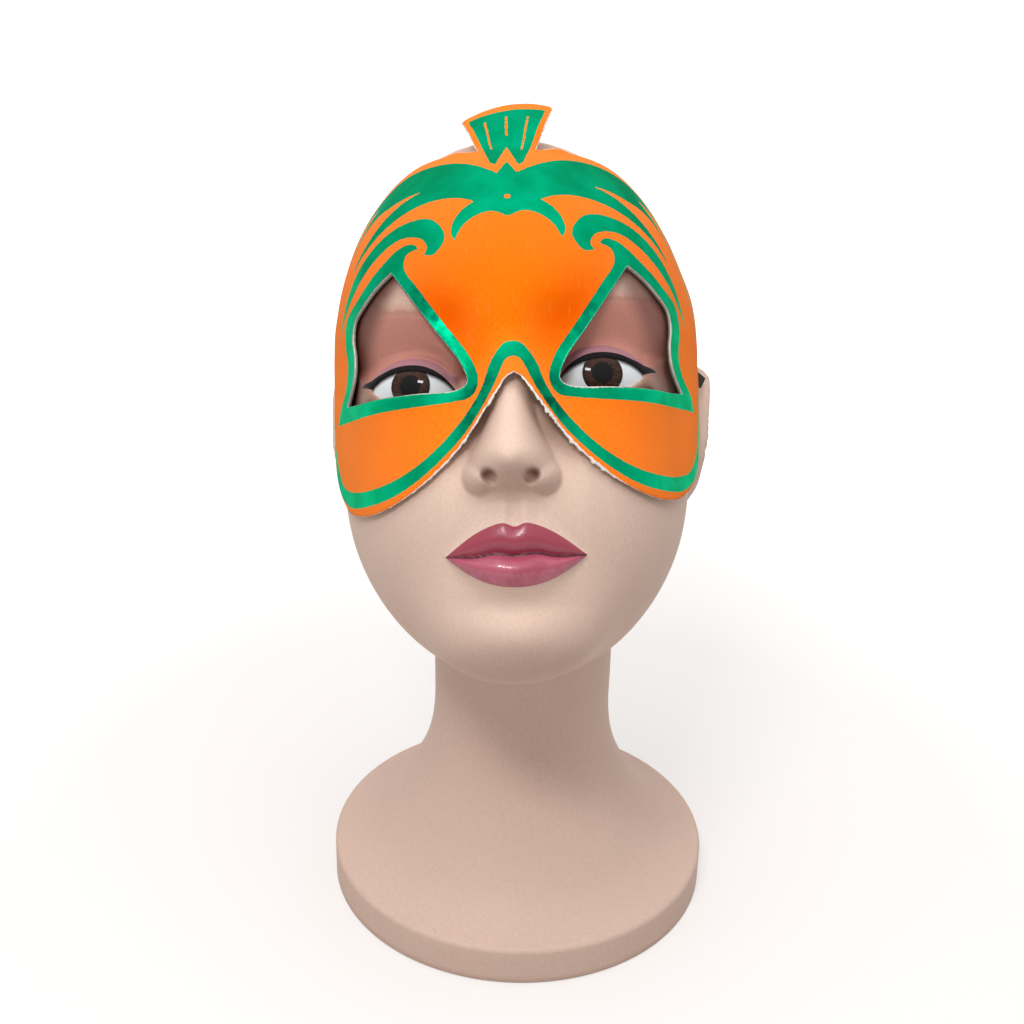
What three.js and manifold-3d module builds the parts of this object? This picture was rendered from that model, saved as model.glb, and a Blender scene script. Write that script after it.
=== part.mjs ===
// A die-cut party mask, worn by the mannequin display head that it is shown on.
// Millimetres, +Z up. The origin is the middle of the underside of the round foot; the face looks along -Y.

import * as THREE from 'three';
import Module from 'manifold-3d';
import { mergeVertices } from 'three/addons/utils/BufferGeometryUtils.js';

// The stand: a round foot, an upright neck and a head that leans back
const FOOT_RADIUS = 81.4;
const FOOT_THICKNESS = 17.2;
const FOOT_ROUNDING = 2.5;
const NECK_RADIUS = 37.3;
const NECK_LEANS_BACK = 6;
const NECK_BENDS = [60, 170];
const NECK_TOP = 185;
const HEAD_HEIGHT = 196.9;
const HEAD_OFFSET = -4.9;
const HEAD_LEAN = THREE.MathUtils.degToRad(27.5);
const HEAD_ROLL = THREE.MathUtils.degToRad(-3.4);
const HEAD_TURN = THREE.MathUtils.degToRad(-1);

// The head's main masses, as ellipsoids around the point midway between the ear holes
const CRANIUM = { at: [0, 3, 41.7], size: [67.9, 90, 82] };
const SIDES = { at: [0, -4, -13.5], size: [65.8, 68, 62], blend: 22 };
const FACE = { at: [1.4, -34, -28.2], size: [54.8, 66, 59.3], blend: 21 };
const CHIN = { at: [1, -74, -66], size: [24, 20, 17], blend: 22 };
const NECK_BLEND = 16;

// The face, from the brow down, in the head's own upright axes
const EYE_SPACING = 66.6;
const EYE_HEIGHT = 18.8;
const EYE_SLANT = 1.5;
const EYE_FRONT = 76.5;
const EYE_TURN = 0.3;
const EYE_BOW = [0.03, 0.035];
const EYE_HALF_SIZE = [15, 6];
const LID_THICKNESS = 1.1;
const SOCKET_DEPTH = 6;
const NOSE_ASIDE = 2.2;
const NOSE_LENGTH = 18.5;
const NOSE_TIP_HEIGHT = -10.5;
const NOSE_WING_AT = 11;
const NOSE_WING_HEIGHT = -16;
const MOUTH_HALF_WIDTH = 24;
const MOUTH_HEIGHT = -42.7;
const UPPER_LIP = 9.8;
const LOWER_LIP = 10.3;
const EAR_AT = [14, 9];
const EAR_SIZE = [15, 30];
const LEFT_EAR_REACH = 8;
const RIGHT_EAR_REACH = 12.5;

// How finely the stand is faceted
const COLUMNS = 54;
const FACE_CROWDING = 3.5;
const EAR_CROWDING = 1.2;
const EAR_BEARING = THREE.MathUtils.degToRad(107);
const HEAD_ROWS = 48;
const UNDER_JAW = 0.86;
const JAW_ANGLE = THREE.MathUtils.degToRad(62);
const LAST_ANGLE = THREE.MathUtils.degToRad(14);
const LAST_HEAD_ROW = 118;
const ROW_STOPS = [[0, 0], [0.17, 0.45], [0.35, 0.56], [0.71, 0.68], [0.77, 0.72], [0.88, 0.86], [1, 1]];

// The mask, laid out flat around the middle of the forehead: 100 mm of pattern to a radian of head
const PATTERN_SCALE = 100;
const FORM_CENTRE = new THREE.Vector3(0, -8, 18);
const FORM_LEAN = THREE.MathUtils.degToRad(20);
const SEAT_SHIFT = 2.9;
const SEAT_TURN = THREE.MathUtils.degToRad(1.7);
const MASK_THICKNESS = 1.2;
const MASK_CLEARANCE = 1.4;
const SIDE_CLEARANCE = 1;
const RIGHT_SIDE_LIFT = 1.2;
const BRIDGE_LIFT = 20;
const DENT_DEPTH = 2.3;
const DENT_SIZE = [9, 10.5];
const DENTS = [[-22, -8], [14.5, -10]];
const EYE_RELIEF = 4.5;
const STEM_FOOT = 71.3;
const STEM_TIP = 91;
const STEM_HALF_FOOT = 11.4;
const STEM_HALF_TIP = 17.5;
const STEM_LIFT = 9;
const STEM_TWIST = 2;
const CELL = 10;
const EDGE_STEP = 6;

// The neck below the head and its flare into the foot: radius and height of each level loop
const FLARE = [
  [NECK_RADIUS, 98], [NECK_RADIUS, 84], [38.2, 72], [42, 60], [48.5, 47], [57.5, 34], [67, 24],
];

// The right half of the mask's outline, from the nose notch round the cheek and the temple to the stem
const EDGE = [
  [0, -34.7], [3, -36.6], [6, -40.8], [11, -47.5], [24, -62.5], [44, -75.4], [74, -84.2], [105, -82],
  [130, -63], [151, -26], [154, 18], [131, 61], [92, 90], [58, 91.2], [31, 79.2], [14, 71.4],
];
// The right eye opening: down its outer side from the peak, then under the eye and back up beside the nose
const EYE_OUTER = [
  [52, 22], [60.5, 21.1], [72.5, 19.2], [85.2, 16.6], [90, 9], [90.5, -2], [94, -12], [109.8, -23.4],
];
const EYE_INNER = [
  [109.8, -23.4], [92, -29.6], [72.5, -33.7], [45, -37.6], [24, -39], [19.6, -36.4], [22, -28],
  [31.5, -13.3], [42.6, 5.2], [52, 22],
];

// The elastic band round the back of the head
const BAND_WIDTH = 5;
const BAND_THICKNESS = 0.9;
const BAND_CLEARANCE = 0.8;
const BAND_START = THREE.MathUtils.degToRad(86);
const BAND_STEPS = 44;
const BAND_LOW = THREE.MathUtils.degToRad(10);
const BAND_HIGH = THREE.MathUtils.degToRad(24.5);
const BAND_RISES = [0, 0.07];

const wasm = await Module();
wasm.setup();

const clamp = THREE.MathUtils.clamp;

function ease(value, from, to) {
  const t = clamp((value - from) / (to - from), 0, 1);
  return t * t * (3 - 2 * t);
}

function hump(x, width, power = 2) {
  return Math.exp(-Math.pow(Math.abs(x / width), power));
}

// A value read off a list of stops, straight between them
function along(stops, s) {
  let i = 1;
  while (i < stops.length - 1 && s > stops[i][0]) i += 1;
  const [s0, v0] = stops[i - 1];
  const [s1, v1] = stops[i];
  return v0 + (v1 - v0) * clamp((s - s0) / (s1 - s0), 0, 1);
}

// Height above an ellipsoid's surface, near enough to walk towards it
function aboveEllipsoid(p, { at, size }) {
  const q = [0, 1, 2].map((i) => (p.getComponent(i) - at[i]) / size[i]);
  const near = Math.hypot(...q);
  const slope = Math.hypot(...q.map((value, i) => value / size[i]));
  return (near * (near - 1)) / (slope + 1e-9);
}

// Two masses joined with a soft fillet
function soften(a, b, width) {
  const h = clamp(0.5 + (0.5 * (b - a)) / width, 0, 1);
  return b + (a - b) * h - width * h * (1 - h);
}

function aboveSkull(p) {
  let height = aboveEllipsoid(p, CRANIUM);
  for (const mass of [SIDES, FACE, CHIN]) height = soften(height, aboveEllipsoid(p, mass), mass.blend);
  return height;
}

// The head's own axes, leaning back on the neck
const headPose = new THREE.Matrix4().makeTranslation(HEAD_OFFSET, 0, HEAD_HEIGHT)
  .multiply(new THREE.Matrix4().makeRotationZ(HEAD_TURN))
  .multiply(new THREE.Matrix4().makeRotationY(HEAD_ROLL))
  .multiply(new THREE.Matrix4().makeRotationX(-HEAD_LEAN));
const toHead = headPose.clone().invert();

function neckMiddle(height) {
  return NECK_LEANS_BACK * ease(height, ...NECK_BENDS);
}

function aboveStand(p) {
  const skull = aboveSkull(p.clone().applyMatrix4(toHead));
  const neck = Math.max(Math.hypot(p.x, p.y - neckMiddle(p.z)) - NECK_RADIUS, p.z - NECK_TOP);
  return soften(skull, neck, NECK_BLEND);
}

// Walks in along a ray from well outside until it meets a surface
const WALK_FROM = 190;
const WALK_STEPS = 50;

function meet(origin, direction, above) {
  let reach = WALK_FROM;
  for (let i = 0; i < WALK_STEPS; i += 1) {
    reach -= 0.85 * above(direction.clone().multiplyScalar(reach).add(origin));
  }
  return reach;
}

// The lips: two soft rolls either side of the mouth line, narrowing to the corners, with a bow at the top
function lipPush(x, z) {
  const across = clamp(Math.abs(x) / MOUTH_HALF_WIDTH, 0, 1);
  const fullness = Math.pow(1 - across * across, 0.7);
  const bow = 1 - 0.12 * hump(x, 3) + 0.08 * hump(Math.abs(x) - 6, 4);
  const above = (z - MOUTH_HEIGHT) / (UPPER_LIP * fullness * bow + 0.5);
  const below = (MOUTH_HEIGHT - z) / (LOWER_LIP * fullness + 0.5);
  const upper = 4 * hump(above - 0.5, 0.5);
  const lower = 5.5 * hump(below - 0.5, 0.5);
  return Math.max(upper, lower) * fullness;
}

// The nose: a ridge that swells to a round tip, and a wing on each side of it
function nosePush(x, z) {
  const side = Math.abs(x);
  const below = NOSE_TIP_HEIGHT - z;
  const ridge = NOSE_LENGTH * ease(-z, -26, -NOSE_TIP_HEIGHT) * hump(x, 6.5, 2.2) * (1 - ease(below, 0, 4));
  const tip = NOSE_LENGTH * hump(Math.hypot(x / 9, below / (below > 0 ? 8.5 : 12)), 1, 2.4);
  const wing = 10 * hump(Math.hypot((side - NOSE_WING_AT) / 6.5, (z - NOSE_WING_HEIGHT) / 6), 1, 2.4);
  return Math.max(ridge, tip, wing);
}

// Moves a point of the plain head to where the carved face has it
function carveFace(p) {
  if (p.y > -20) return;
  const side = p.x < 0 ? -1 : 1;
  const out = Math.abs(p.x) - EYE_SPACING / 2;
  const up = p.z - EYE_HEIGHT - side * EYE_SLANT;
  const socket = SOCKET_DEPTH * hump(out, 20) * hump(up - 6, 12);
  const aside = p.x - NOSE_ASIDE;
  const groove = 2 * hump(p.z + 59, 5) * hump(aside, 16);
  const chin = 2 * hump(p.z + 72, 9) * hump(aside, 14);
  let front = -p.y - socket + nosePush(aside, p.z) + lipPush(aside, p.z) - groove + chin;
  const eye = EYE_FRONT - EYE_TURN * out - EYE_BOW[0] * out ** 2 - EYE_BOW[1] * up ** 2;
  const away = Math.hypot(out / EYE_HALF_SIZE[0], up / EYE_HALF_SIZE[1]);
  const lid = LID_THICKNESS * ease(away, 0.9, 1.1);
  front += (eye + lid - front) * (1 - ease(away, 1.15, 1.7));
  p.y = -front;
}

// Raises the ears: a rim round a hollow, turned out from the side of the head
function raiseEar(p) {
  const back = (p.y - EAR_AT[0] - 0.18 * (p.z - EAR_AT[1])) / EAR_SIZE[0];
  const up = (p.z - EAR_AT[1]) / EAR_SIZE[1];
  const ring = Math.hypot(back, up);
  const plate = 1 - ease(ring, 0.68, 1.18);
  const reach = p.x > 0 ? RIGHT_EAR_REACH : LEFT_EAR_REACH;
  const outward = reach * (0.7 + 0.26 * up + 0.1 * clamp(back, -1, 1)) + 1 - 2.5 * hump(ring, 0.5);
  p.x += Math.sign(p.x) * plate * outward * ease(Math.abs(p.x), 40, 55);
}

// The bearings of the columns round the stand, closer together at the face and at the ears
function columnBearings() {
  const samples = 720;
  const totals = [0];
  for (let i = 0; i < samples; i += 1) {
    const bearing = ((i + 0.5) / samples - 0.5) * 2 * Math.PI;
    const atEars = EAR_CROWDING * hump(Math.abs(bearing) - EAR_BEARING, 0.25);
    totals.push(totals[i] + 1 + FACE_CROWDING * hump(bearing, 0.45) + atEars);
  }
  const bearings = [];
  let i = 0;
  for (let column = 0; column < COLUMNS; column += 1) {
    const wanted = (totals[samples] * column) / COLUMNS;
    while (totals[i + 1] < wanted) i += 1;
    const part = (wanted - totals[i]) / (totals[i + 1] - totals[i]);
    bearings.push(((i + part) / samples - 0.5) * 2 * Math.PI);
  }
  return bearings;
}

const bearings = columnBearings();

// One loop round the stand at a share s of the way from the crown down to the neck
function headLoop(s) {
  const centre = FORM_CENTRE.clone().applyMatrix4(headPose);
  const rise = along([[0, Math.PI / 2], [UNDER_JAW, -JAW_ANGLE], [1, -LAST_ANGLE]], s);
  const neckTop = centre.z - NECK_RADIUS * Math.tan(JAW_ANGLE);
  const onNeck = along([[UNDER_JAW, neckTop], [1, LAST_HEAD_ROW]], s) - NECK_RADIUS * Math.tan(rise);
  const start = new THREE.Vector3(
    centre.x * (1 - ease(s, 0.7, 1)),
    along([[0, centre.y], [UNDER_JAW, centre.y], [1, 3]], s),
    s > UNDER_JAW ? onNeck : centre.z,
  );
  const upright = ease(s, 0.45, UNDER_JAW);
  const turn = new THREE.Matrix4().makeRotationY(HEAD_ROLL * (1 - upright))
    .multiply(new THREE.Matrix4().makeRotationX(-HEAD_LEAN * (1 - upright)));
  return bearings.map((bearing) => {
    const ray = new THREE.Vector3(
      Math.sin(bearing) * Math.cos(rise),
      -Math.cos(bearing) * Math.cos(rise),
      Math.sin(rise),
    ).applyMatrix4(turn);
    const p = ray.clone().multiplyScalar(meet(start, ray, aboveStand)).add(start).applyMatrix4(toHead);
    carveFace(p);
    raiseEar(p);
    return p.applyMatrix4(headPose);
  });
}

// One level loop round the neck or the foot
function levelLoop(radius, height) {
  const middle = neckMiddle(height);
  return bearings.map((bearing) => (
    new THREE.Vector3(radius * Math.sin(bearing), middle - radius * Math.cos(bearing), height)
  ));
}

// Loops joined into one closed skin, with a point at each end
function closedSkin(top, loops, bottom) {
  const points = [top, ...loops.flat(), bottom];
  const last = points.length - 1;
  const index = [];
  for (let i = 0; i < COLUMNS; i += 1) {
    const next = (i + 1) % COLUMNS;
    index.push(0, 1 + i, 1 + next);
    for (let row = 0; row + 1 < loops.length; row += 1) {
      const a = 1 + row * COLUMNS + i;
      const b = 1 + row * COLUMNS + next;
      index.push(a, a + COLUMNS, b + COLUMNS, a, b + COLUMNS, b);
    }
    index.push(last - COLUMNS + next, last - COLUMNS + i, last);
  }
  const geometry = new THREE.BufferGeometry().setFromPoints(points);
  geometry.setIndex(index);
  geometry.computeVertexNormals();
  return geometry;
}

function makeDisplayHead() {
  const loops = [];
  for (let row = 1; row <= HEAD_ROWS; row += 1) loops.push(headLoop(along(ROW_STOPS, row / HEAD_ROWS)));
  const rim = FOOT_THICKNESS - FOOT_ROUNDING;
  const foot = [[FOOT_RADIUS - FOOT_ROUNDING, FOOT_THICKNESS], [FOOT_RADIUS, rim], [FOOT_RADIUS, 0]];
  for (const [radius, height] of [...FLARE, ...foot]) loops.push(levelLoop(radius, height));
  const crown = loops[0].reduce((sum, p) => sum.add(p), new THREE.Vector3()).divideScalar(COLUMNS);
  const pole = FORM_CENTRE.clone().applyMatrix4(headPose);
  const up = crown.clone().sub(pole).normalize();
  const top = up.multiplyScalar(meet(pole, up, aboveStand)).add(pole);
  return closedSkin(top, loops, new THREE.Vector3(0, 0, 0));
}

// The mask's moulded form: which way a point of the flat pattern lies from the middle of the head
const formFront = new THREE.Vector3(0, -Math.cos(FORM_LEAN), Math.sin(FORM_LEAN));
const formUp = new THREE.Vector3(0, Math.sin(FORM_LEAN), Math.cos(FORM_LEAN));
const formAcross = new THREE.Vector3(1, 0, 0);

function patternRay(a, b) {
  const u = SEAT_SHIFT + a * Math.cos(SEAT_TURN) - b * Math.sin(SEAT_TURN);
  const v = a * Math.sin(SEAT_TURN) + b * Math.cos(SEAT_TURN);
  const angle = Math.hypot(u, v) / PATTERN_SCALE + 1e-9;
  const share = Math.sin(angle) / (angle * PATTERN_SCALE);
  return formFront.clone().multiplyScalar(Math.cos(angle))
    .addScaledVector(formAcross, share * u)
    .addScaledVector(formUp, share * v);
}

// How far the mask's inner face stands off the plain head
function standOff(a, b) {
  const side = Math.abs(a);
  const bridge = BRIDGE_LIFT * ease(-b, 12, 62) * hump(a, 10 + 0.1 * clamp(-b - 20, 0, 60));
  const dent = DENTS.reduce((depth, [across, up]) => (
    depth + DENT_DEPTH * hump(a - across, DENT_SIZE[0]) * hump(b - up, DENT_SIZE[1])
  ), 0);
  const relief = EYE_RELIEF * hump(side - 58, 34) * hump(b + 26, 24);
  const stem = ease(b, 66, 82) * (b - 70) * (STEM_LIFT + STEM_TWIST * (a / 17)) / 20;
  const atSide = SIDE_CLEARANCE * ease(side, 105, 140) + RIGHT_SIDE_LIFT * ease(a, 95, 125);
  return MASK_CLEARANCE + bridge - dent + relief + stem * (1 - ease(side, 17, 27)) + atSide;
}

function onMask(a, b, depth) {
  const ray = patternRay(a, b);
  const reach = meet(FORM_CENTRE, ray, aboveSkull) + standOff(a, b) + depth;
  return ray.multiplyScalar(reach).add(FORM_CENTRE);
}

// A smooth run through drawn points, in steps of about the same length
function drawnCurve(points, step) {
  const stops = points.map(([x, y]) => new THREE.Vector3(x, y, 0));
  const curve = new THREE.CatmullRomCurve3(stops, false, 'centripetal');
  const run = curve.getSpacedPoints(Math.round(curve.getLength() / step));
  return run.map((p) => new THREE.Vector2(p.x, p.y));
}

function outlineShape() {
  const half = drawnCurve(EDGE, EDGE_STEP);
  half.push(new THREE.Vector2(STEM_HALF_FOOT, STEM_FOOT));
  half.push(new THREE.Vector2(STEM_HALF_TIP, STEM_TIP - 1));
  half.push(new THREE.Vector2(STEM_HALF_TIP - 1, STEM_TIP));
  half.push(new THREE.Vector2(STEM_HALF_TIP / 2, STEM_TIP + 1.4));
  half.push(new THREE.Vector2(0, STEM_TIP + 2));
  const other = half.slice(1, -1).reverse().map((p) => new THREE.Vector2(-p.x, p.y));
  const shape = new THREE.Shape([...half, ...other]);
  for (const side of [1, -1]) {
    const outerSide = drawnCurve(EYE_OUTER, EDGE_STEP).slice(1);
    const innerSide = drawnCurve(EYE_INNER, EDGE_STEP).slice(1);
    const opening = [...outerSide, ...innerSide].map((p) => new THREE.Vector2(side * p.x, p.y));
    shape.holes.push(new THREE.Path(opening));
  }
  return shape;
}

function toSolid(geometry) {
  const plain = geometry.clone();
  plain.deleteAttribute('normal');
  plain.deleteAttribute('uv');
  const merged = mergeVertices(plain, 1e-4);
  return new wasm.Manifold(new wasm.Mesh({
    numProp: 3,
    vertProperties: new Float32Array(merged.attributes.position.array),
    triVerts: new Uint32Array(merged.index.array),
  }));
}

// A wide sheet in the pattern's plane, bowed a little so that every cell of it keeps its own corners
const BOW = 4e-3;

function bowedSheet() {
  const halfWide = 19;
  const halfHigh = 12;
  const corners = [];
  const index = [];
  const across = 2 * halfWide + 1;
  const perFace = across * (2 * halfHigh + 1);
  for (const layer of [0, 1]) {
    for (let j = -halfHigh; j <= halfHigh; j += 1) {
      for (let i = -halfWide; i <= halfWide; i += 1) {
        const [x, y] = [i * CELL, j * CELL + 3];
        corners.push(new THREE.Vector3(x, y, layer + BOW * (x * x + y * y)));
      }
    }
  }
  const cell = (a, b, c, d) => index.push(a, b, c, a, c, d);
  for (let j = 0; j < 2 * halfHigh; j += 1) {
    for (let i = 0; i < 2 * halfWide; i += 1) {
      const k = j * across + i;
      cell(k, k + across, k + across + 1, k + 1);
      cell(perFace + k, perFace + k + 1, perFace + k + across + 1, perFace + k + across);
    }
  }
  const rim = [];
  for (let i = 0; i < 2 * halfWide; i += 1) rim.push(i);
  for (let j = 0; j < 2 * halfHigh; j += 1) rim.push(j * across + 2 * halfWide);
  for (let i = 2 * halfWide; i > 0; i -= 1) rim.push(2 * halfHigh * across + i);
  for (let j = 2 * halfHigh; j > 0; j -= 1) rim.push(j * across);
  rim.forEach((k, i) => {
    const next = rim[(i + 1) % rim.length];
    cell(k, next, next + perFace, k + perFace);
  });
  const geometry = new THREE.BufferGeometry().setFromPoints(corners);
  geometry.setIndex(index);
  return geometry;
}

// The mask: cut from the sheet in the flat, then moulded over the head
function makeMask() {
  const punch = new THREE.ExtrudeGeometry(outlineShape(), { depth: 300, bevelEnabled: false });
  punch.translate(0, 0, -50);
  const cut = toSolid(bowedSheet()).intersect(toSolid(punch)).getMesh();
  const points = [];
  for (let i = 0; i < cut.vertProperties.length; i += cut.numProp) {
    const [x, y, z] = cut.vertProperties.slice(i, i + 3);
    const isOuter = z - BOW * (x * x + y * y) > 0.5;
    points.push(onMask(x, y, isOuter ? MASK_THICKNESS : 0));
  }
  const geometry = new THREE.BufferGeometry().setFromPoints(points);
  geometry.setIndex([...cut.triVerts]);
  geometry.computeVertexNormals();
  return geometry;
}

// The band: a flat strip that leaves the mask's side edge, rises over the ear and runs round the back
function makeBand() {
  const route = [];
  for (let i = 0; i <= BAND_STEPS; i += 1) {
    const share = i / BAND_STEPS;
    const turn = BAND_START + (2 * Math.PI - 2 * BAND_START) * share;
    const rise = BAND_LOW + (BAND_HIGH - BAND_LOW) * ease(0.5 - Math.abs(share - 0.5), ...BAND_RISES);
    const ray = new THREE.Vector3(
      Math.sin(turn) * Math.cos(rise),
      -Math.cos(turn) * Math.cos(rise),
      Math.sin(rise),
    );
    route.push(ray.clone().multiplyScalar(meet(FORM_CENTRE, ray, aboveSkull)).add(FORM_CENTRE));
  }
  const points = [];
  const axes = [[0.5, 0, 0], [0, 0.5, 0], [0, 0, 0.5]].map((axis) => new THREE.Vector3(...axis));
  route.forEach((p, i) => {
    const ahead = route[Math.min(i + 1, BAND_STEPS)].clone().sub(route[Math.max(i - 1, 0)]).normalize();
    const slopes = axes.map((axis) => aboveSkull(p.clone().add(axis)) - aboveSkull(p.clone().sub(axis)));
    const outward = new THREE.Vector3(...slopes).normalize();
    const wide = outward.clone().cross(ahead).normalize();
    for (const [side, height] of [[-1, 0], [1, 0], [1, BAND_THICKNESS], [-1, BAND_THICKNESS]]) {
      points.push(p.clone()
        .addScaledVector(outward, BAND_CLEARANCE + height)
        .addScaledVector(wide, (side * BAND_WIDTH) / 2));
    }
  });
  const index = [0, 2, 1, 0, 3, 2];
  for (let i = 0; i < BAND_STEPS; i += 1) {
    for (let k = 0; k < 4; k += 1) {
      const a = 4 * i + k;
      const b = 4 * i + ((k + 1) % 4);
      index.push(a, b, b + 4, a, b + 4, a + 4);
    }
  }
  const end = 4 * BAND_STEPS;
  index.push(end, end + 1, end + 2, end, end + 2, end + 3);
  const geometry = new THREE.BufferGeometry().setFromPoints(points);
  geometry.setIndex(index);
  geometry.computeVertexNormals();
  return geometry;
}

function piece(name, geometry, color, roughness, metalness = 0) {
  const mesh = new THREE.Mesh(geometry, new THREE.MeshStandardMaterial({ color, roughness, metalness }));
  mesh.name = name;
  return mesh;
}

const worn = new THREE.Group();
worn.applyMatrix4(headPose);
worn.add(piece('pumpkin_mask', makeMask(), 0xf58220, 0.6));
worn.add(piece('elastic_band', makeBand(), 0x1a1a1a, 0.9));

const part = new THREE.Group();
part.add(piece('display_head', makeDisplayHead(), 0xd8bdb0, 0.5));
part.add(worn);

export default part;
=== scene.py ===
# A die-cut pumpkin party mask on its display head. Metres, +Z up; the face looks along -Y.

from math import cos, pi, radians, sin

import bpy
import numpy as np
from mathutils import Matrix, Vector, geometry


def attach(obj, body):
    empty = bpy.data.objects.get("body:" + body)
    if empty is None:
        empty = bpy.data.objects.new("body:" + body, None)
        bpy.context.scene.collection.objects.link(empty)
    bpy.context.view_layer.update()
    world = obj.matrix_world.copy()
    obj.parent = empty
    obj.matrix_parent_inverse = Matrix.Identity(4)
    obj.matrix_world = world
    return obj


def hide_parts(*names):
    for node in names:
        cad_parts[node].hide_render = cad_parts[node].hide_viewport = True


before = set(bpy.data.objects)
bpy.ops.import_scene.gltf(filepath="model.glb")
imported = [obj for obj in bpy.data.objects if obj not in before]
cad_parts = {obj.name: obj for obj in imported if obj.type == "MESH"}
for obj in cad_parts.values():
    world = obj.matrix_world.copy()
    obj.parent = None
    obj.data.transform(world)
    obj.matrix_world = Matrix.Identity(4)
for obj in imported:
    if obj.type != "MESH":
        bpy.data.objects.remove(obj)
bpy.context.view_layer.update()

# The camera: a little above the head, looking down on it, with a slight roll to one side.
# Its picture is shifted by a few of its 1024 pixels.
CAMERA_AT = (-0.0039, -0.525, 0.410)
CAMERA_PITCH = radians(65.6)
CAMERA_ROLL = radians(1.5)
LENS = 50.0
SENSOR = 36.0
PICTURE_SHIFT = -5.5 / 1024

camera_data = bpy.data.cameras.new("camera")
camera_data.lens = LENS
camera_data.sensor_width = SENSOR
camera_data.shift_x = PICTURE_SHIFT
camera = bpy.data.objects.new("camera", camera_data)
camera.matrix_world = (
    Matrix.Translation(CAMERA_AT)
    @ Matrix.Rotation(CAMERA_PITCH, 4, "X")
    @ Matrix.Rotation(CAMERA_ROLL, 4, "Z")
)
bpy.context.scene.collection.objects.link(camera)
bpy.context.scene.camera = camera

# The studio: a white paper sweep under a wide soft top light, with a small window high on the left.
# The room is dim and warm below and pale above, and glossy paint mirrors it a little brighter.
FLOOR_SIZE = 12.0
SWEEP_FADES = (0.22, 0.75)
WINDOW_AT = (-0.22, -0.72, 1.0)
WINDOW_SIZE = (0.30, 0.15)
WINDOW_POWER = 4.6
TOP_AT = (0.0, -0.12, 1.5)
TOP_SIZE = (1.5, 1.1)
TOP_POWER = 11.5
FACE_AT = (0, -0.08, 0.2)
ROOM_STOPS = ((0.35, (0.25, 0.21, 0.185, 1)), (0.9, (0.52, 0.52, 0.53, 1)))
REFLECTED_ROOM = 1.7
PAPER_GREY = (0.50, 0.47, 0.45, 1)
PAPER_GLOW = 0.49
WHITE = (1, 1, 1, 1)

bpy.context.scene.view_settings.view_transform = "Standard"


def soft_light(name, place, size, power):
    """A rectangular area light, turned to face the head."""
    lamp = bpy.data.lights.new(name, "AREA")
    lamp.shape = "RECTANGLE"
    lamp.energy = power
    lamp.size, lamp.size_y = size
    light = bpy.data.objects.new(name, lamp)
    light.location = place
    towards = Vector(FACE_AT) - Vector(place)
    light.rotation_euler = towards.to_track_quat("-Z", "Y").to_euler()
    bpy.context.scene.collection.objects.link(light)
    return light


def feed(tree, node, values):
    """Gives a node's inputs, by name or number, values or other nodes' outputs."""
    for name, value in values.items():
        if isinstance(value, bpy.types.NodeSocket):
            tree.links.new(value, node.inputs[name])
        else:
            node.inputs[name].default_value = value
    return node


def add_node(tree, kind, values=None):
    """A new shader node with its inputs fed."""
    return feed(tree, tree.nodes.new("ShaderNode" + kind), values or {})


def ranged(tree, value, low, high, to_low=0.0, to_high=1.0, smooth=True):
    """A value mapped from low..high to to_low..to_high, held at the ends."""
    ends = {"From Min": low, "From Max": high, "To Min": to_low, "To Max": to_high}
    node = add_node(tree, "MapRange", {"Value": value, **ends})
    node.interpolation_type = "SMOOTHSTEP" if smooth else "LINEAR"
    return node.outputs["Result"]


def reckon(tree, operation, *values):
    """One Math node on sockets or numbers."""
    node = add_node(tree, "Math", dict(enumerate(values)))
    node.operation = operation
    return node.outputs[0]


def product(tree, *factors):
    """Sockets or numbers multiplied together."""
    total = factors[0]
    for factor in factors[1:]:
        total = reckon(tree, "MULTIPLY", total, factor)
    return total


def new_material(name):
    """A new material, its node tree and its Principled shader."""
    material = bpy.data.materials.new(name)
    material.use_nodes = True
    return material, material.node_tree, material.node_tree.nodes["Principled BSDF"]


soft_light("window_light", WINDOW_AT, WINDOW_SIZE, WINDOW_POWER)
top_light = soft_light("top_light", TOP_AT, TOP_SIZE, TOP_POWER)
top_light.visible_glossy = False

world = bpy.data.worlds.new("studio")
world.use_nodes = True
bpy.context.scene.world = world
tree = world.node_tree
sky = add_node(tree, "SeparateXYZ", {0: add_node(tree, "TexCoord").outputs["Generated"]})
sky_height = ranged(tree, sky.outputs["Z"], -1.0, 1.0, smooth=False)
sky_ramp = add_node(tree, "ValToRGB", {"Fac": sky_height})
for stop, (position, colour) in zip(sky_ramp.color_ramp.elements, ROOM_STOPS):
    stop.position = position
    stop.color = colour
light_path = add_node(tree, "LightPath")
room_strength = ranged(tree, light_path.outputs["Is Glossy Ray"], 0.0, 1.0, 1.0, REFLECTED_ROOM, False)
room = feed(tree, tree.nodes["Background"], {"Color": sky_ramp.outputs["Color"], "Strength": room_strength})
backdrop = add_node(tree, "Background", {"Color": WHITE})
seen = {"Fac": light_path.outputs["Is Camera Ray"], 1: room.outputs[0], 2: backdrop.outputs[0]}
feed(tree, tree.nodes["World Output"], {"Surface": add_node(tree, "MixShader", seen).outputs[0]})

floor_mesh = bpy.data.meshes.new("floor")
corners = [(x * FLOOR_SIZE / 2, y * FLOOR_SIZE / 2, 0) for x, y in ((-1, -1), (1, -1), (1, 1), (-1, 1))]
floor_mesh.from_pydata(corners, [], [(0, 1, 2, 3)])
floor = bpy.data.objects.new("floor", floor_mesh)
bpy.context.scene.collection.objects.link(floor)

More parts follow.
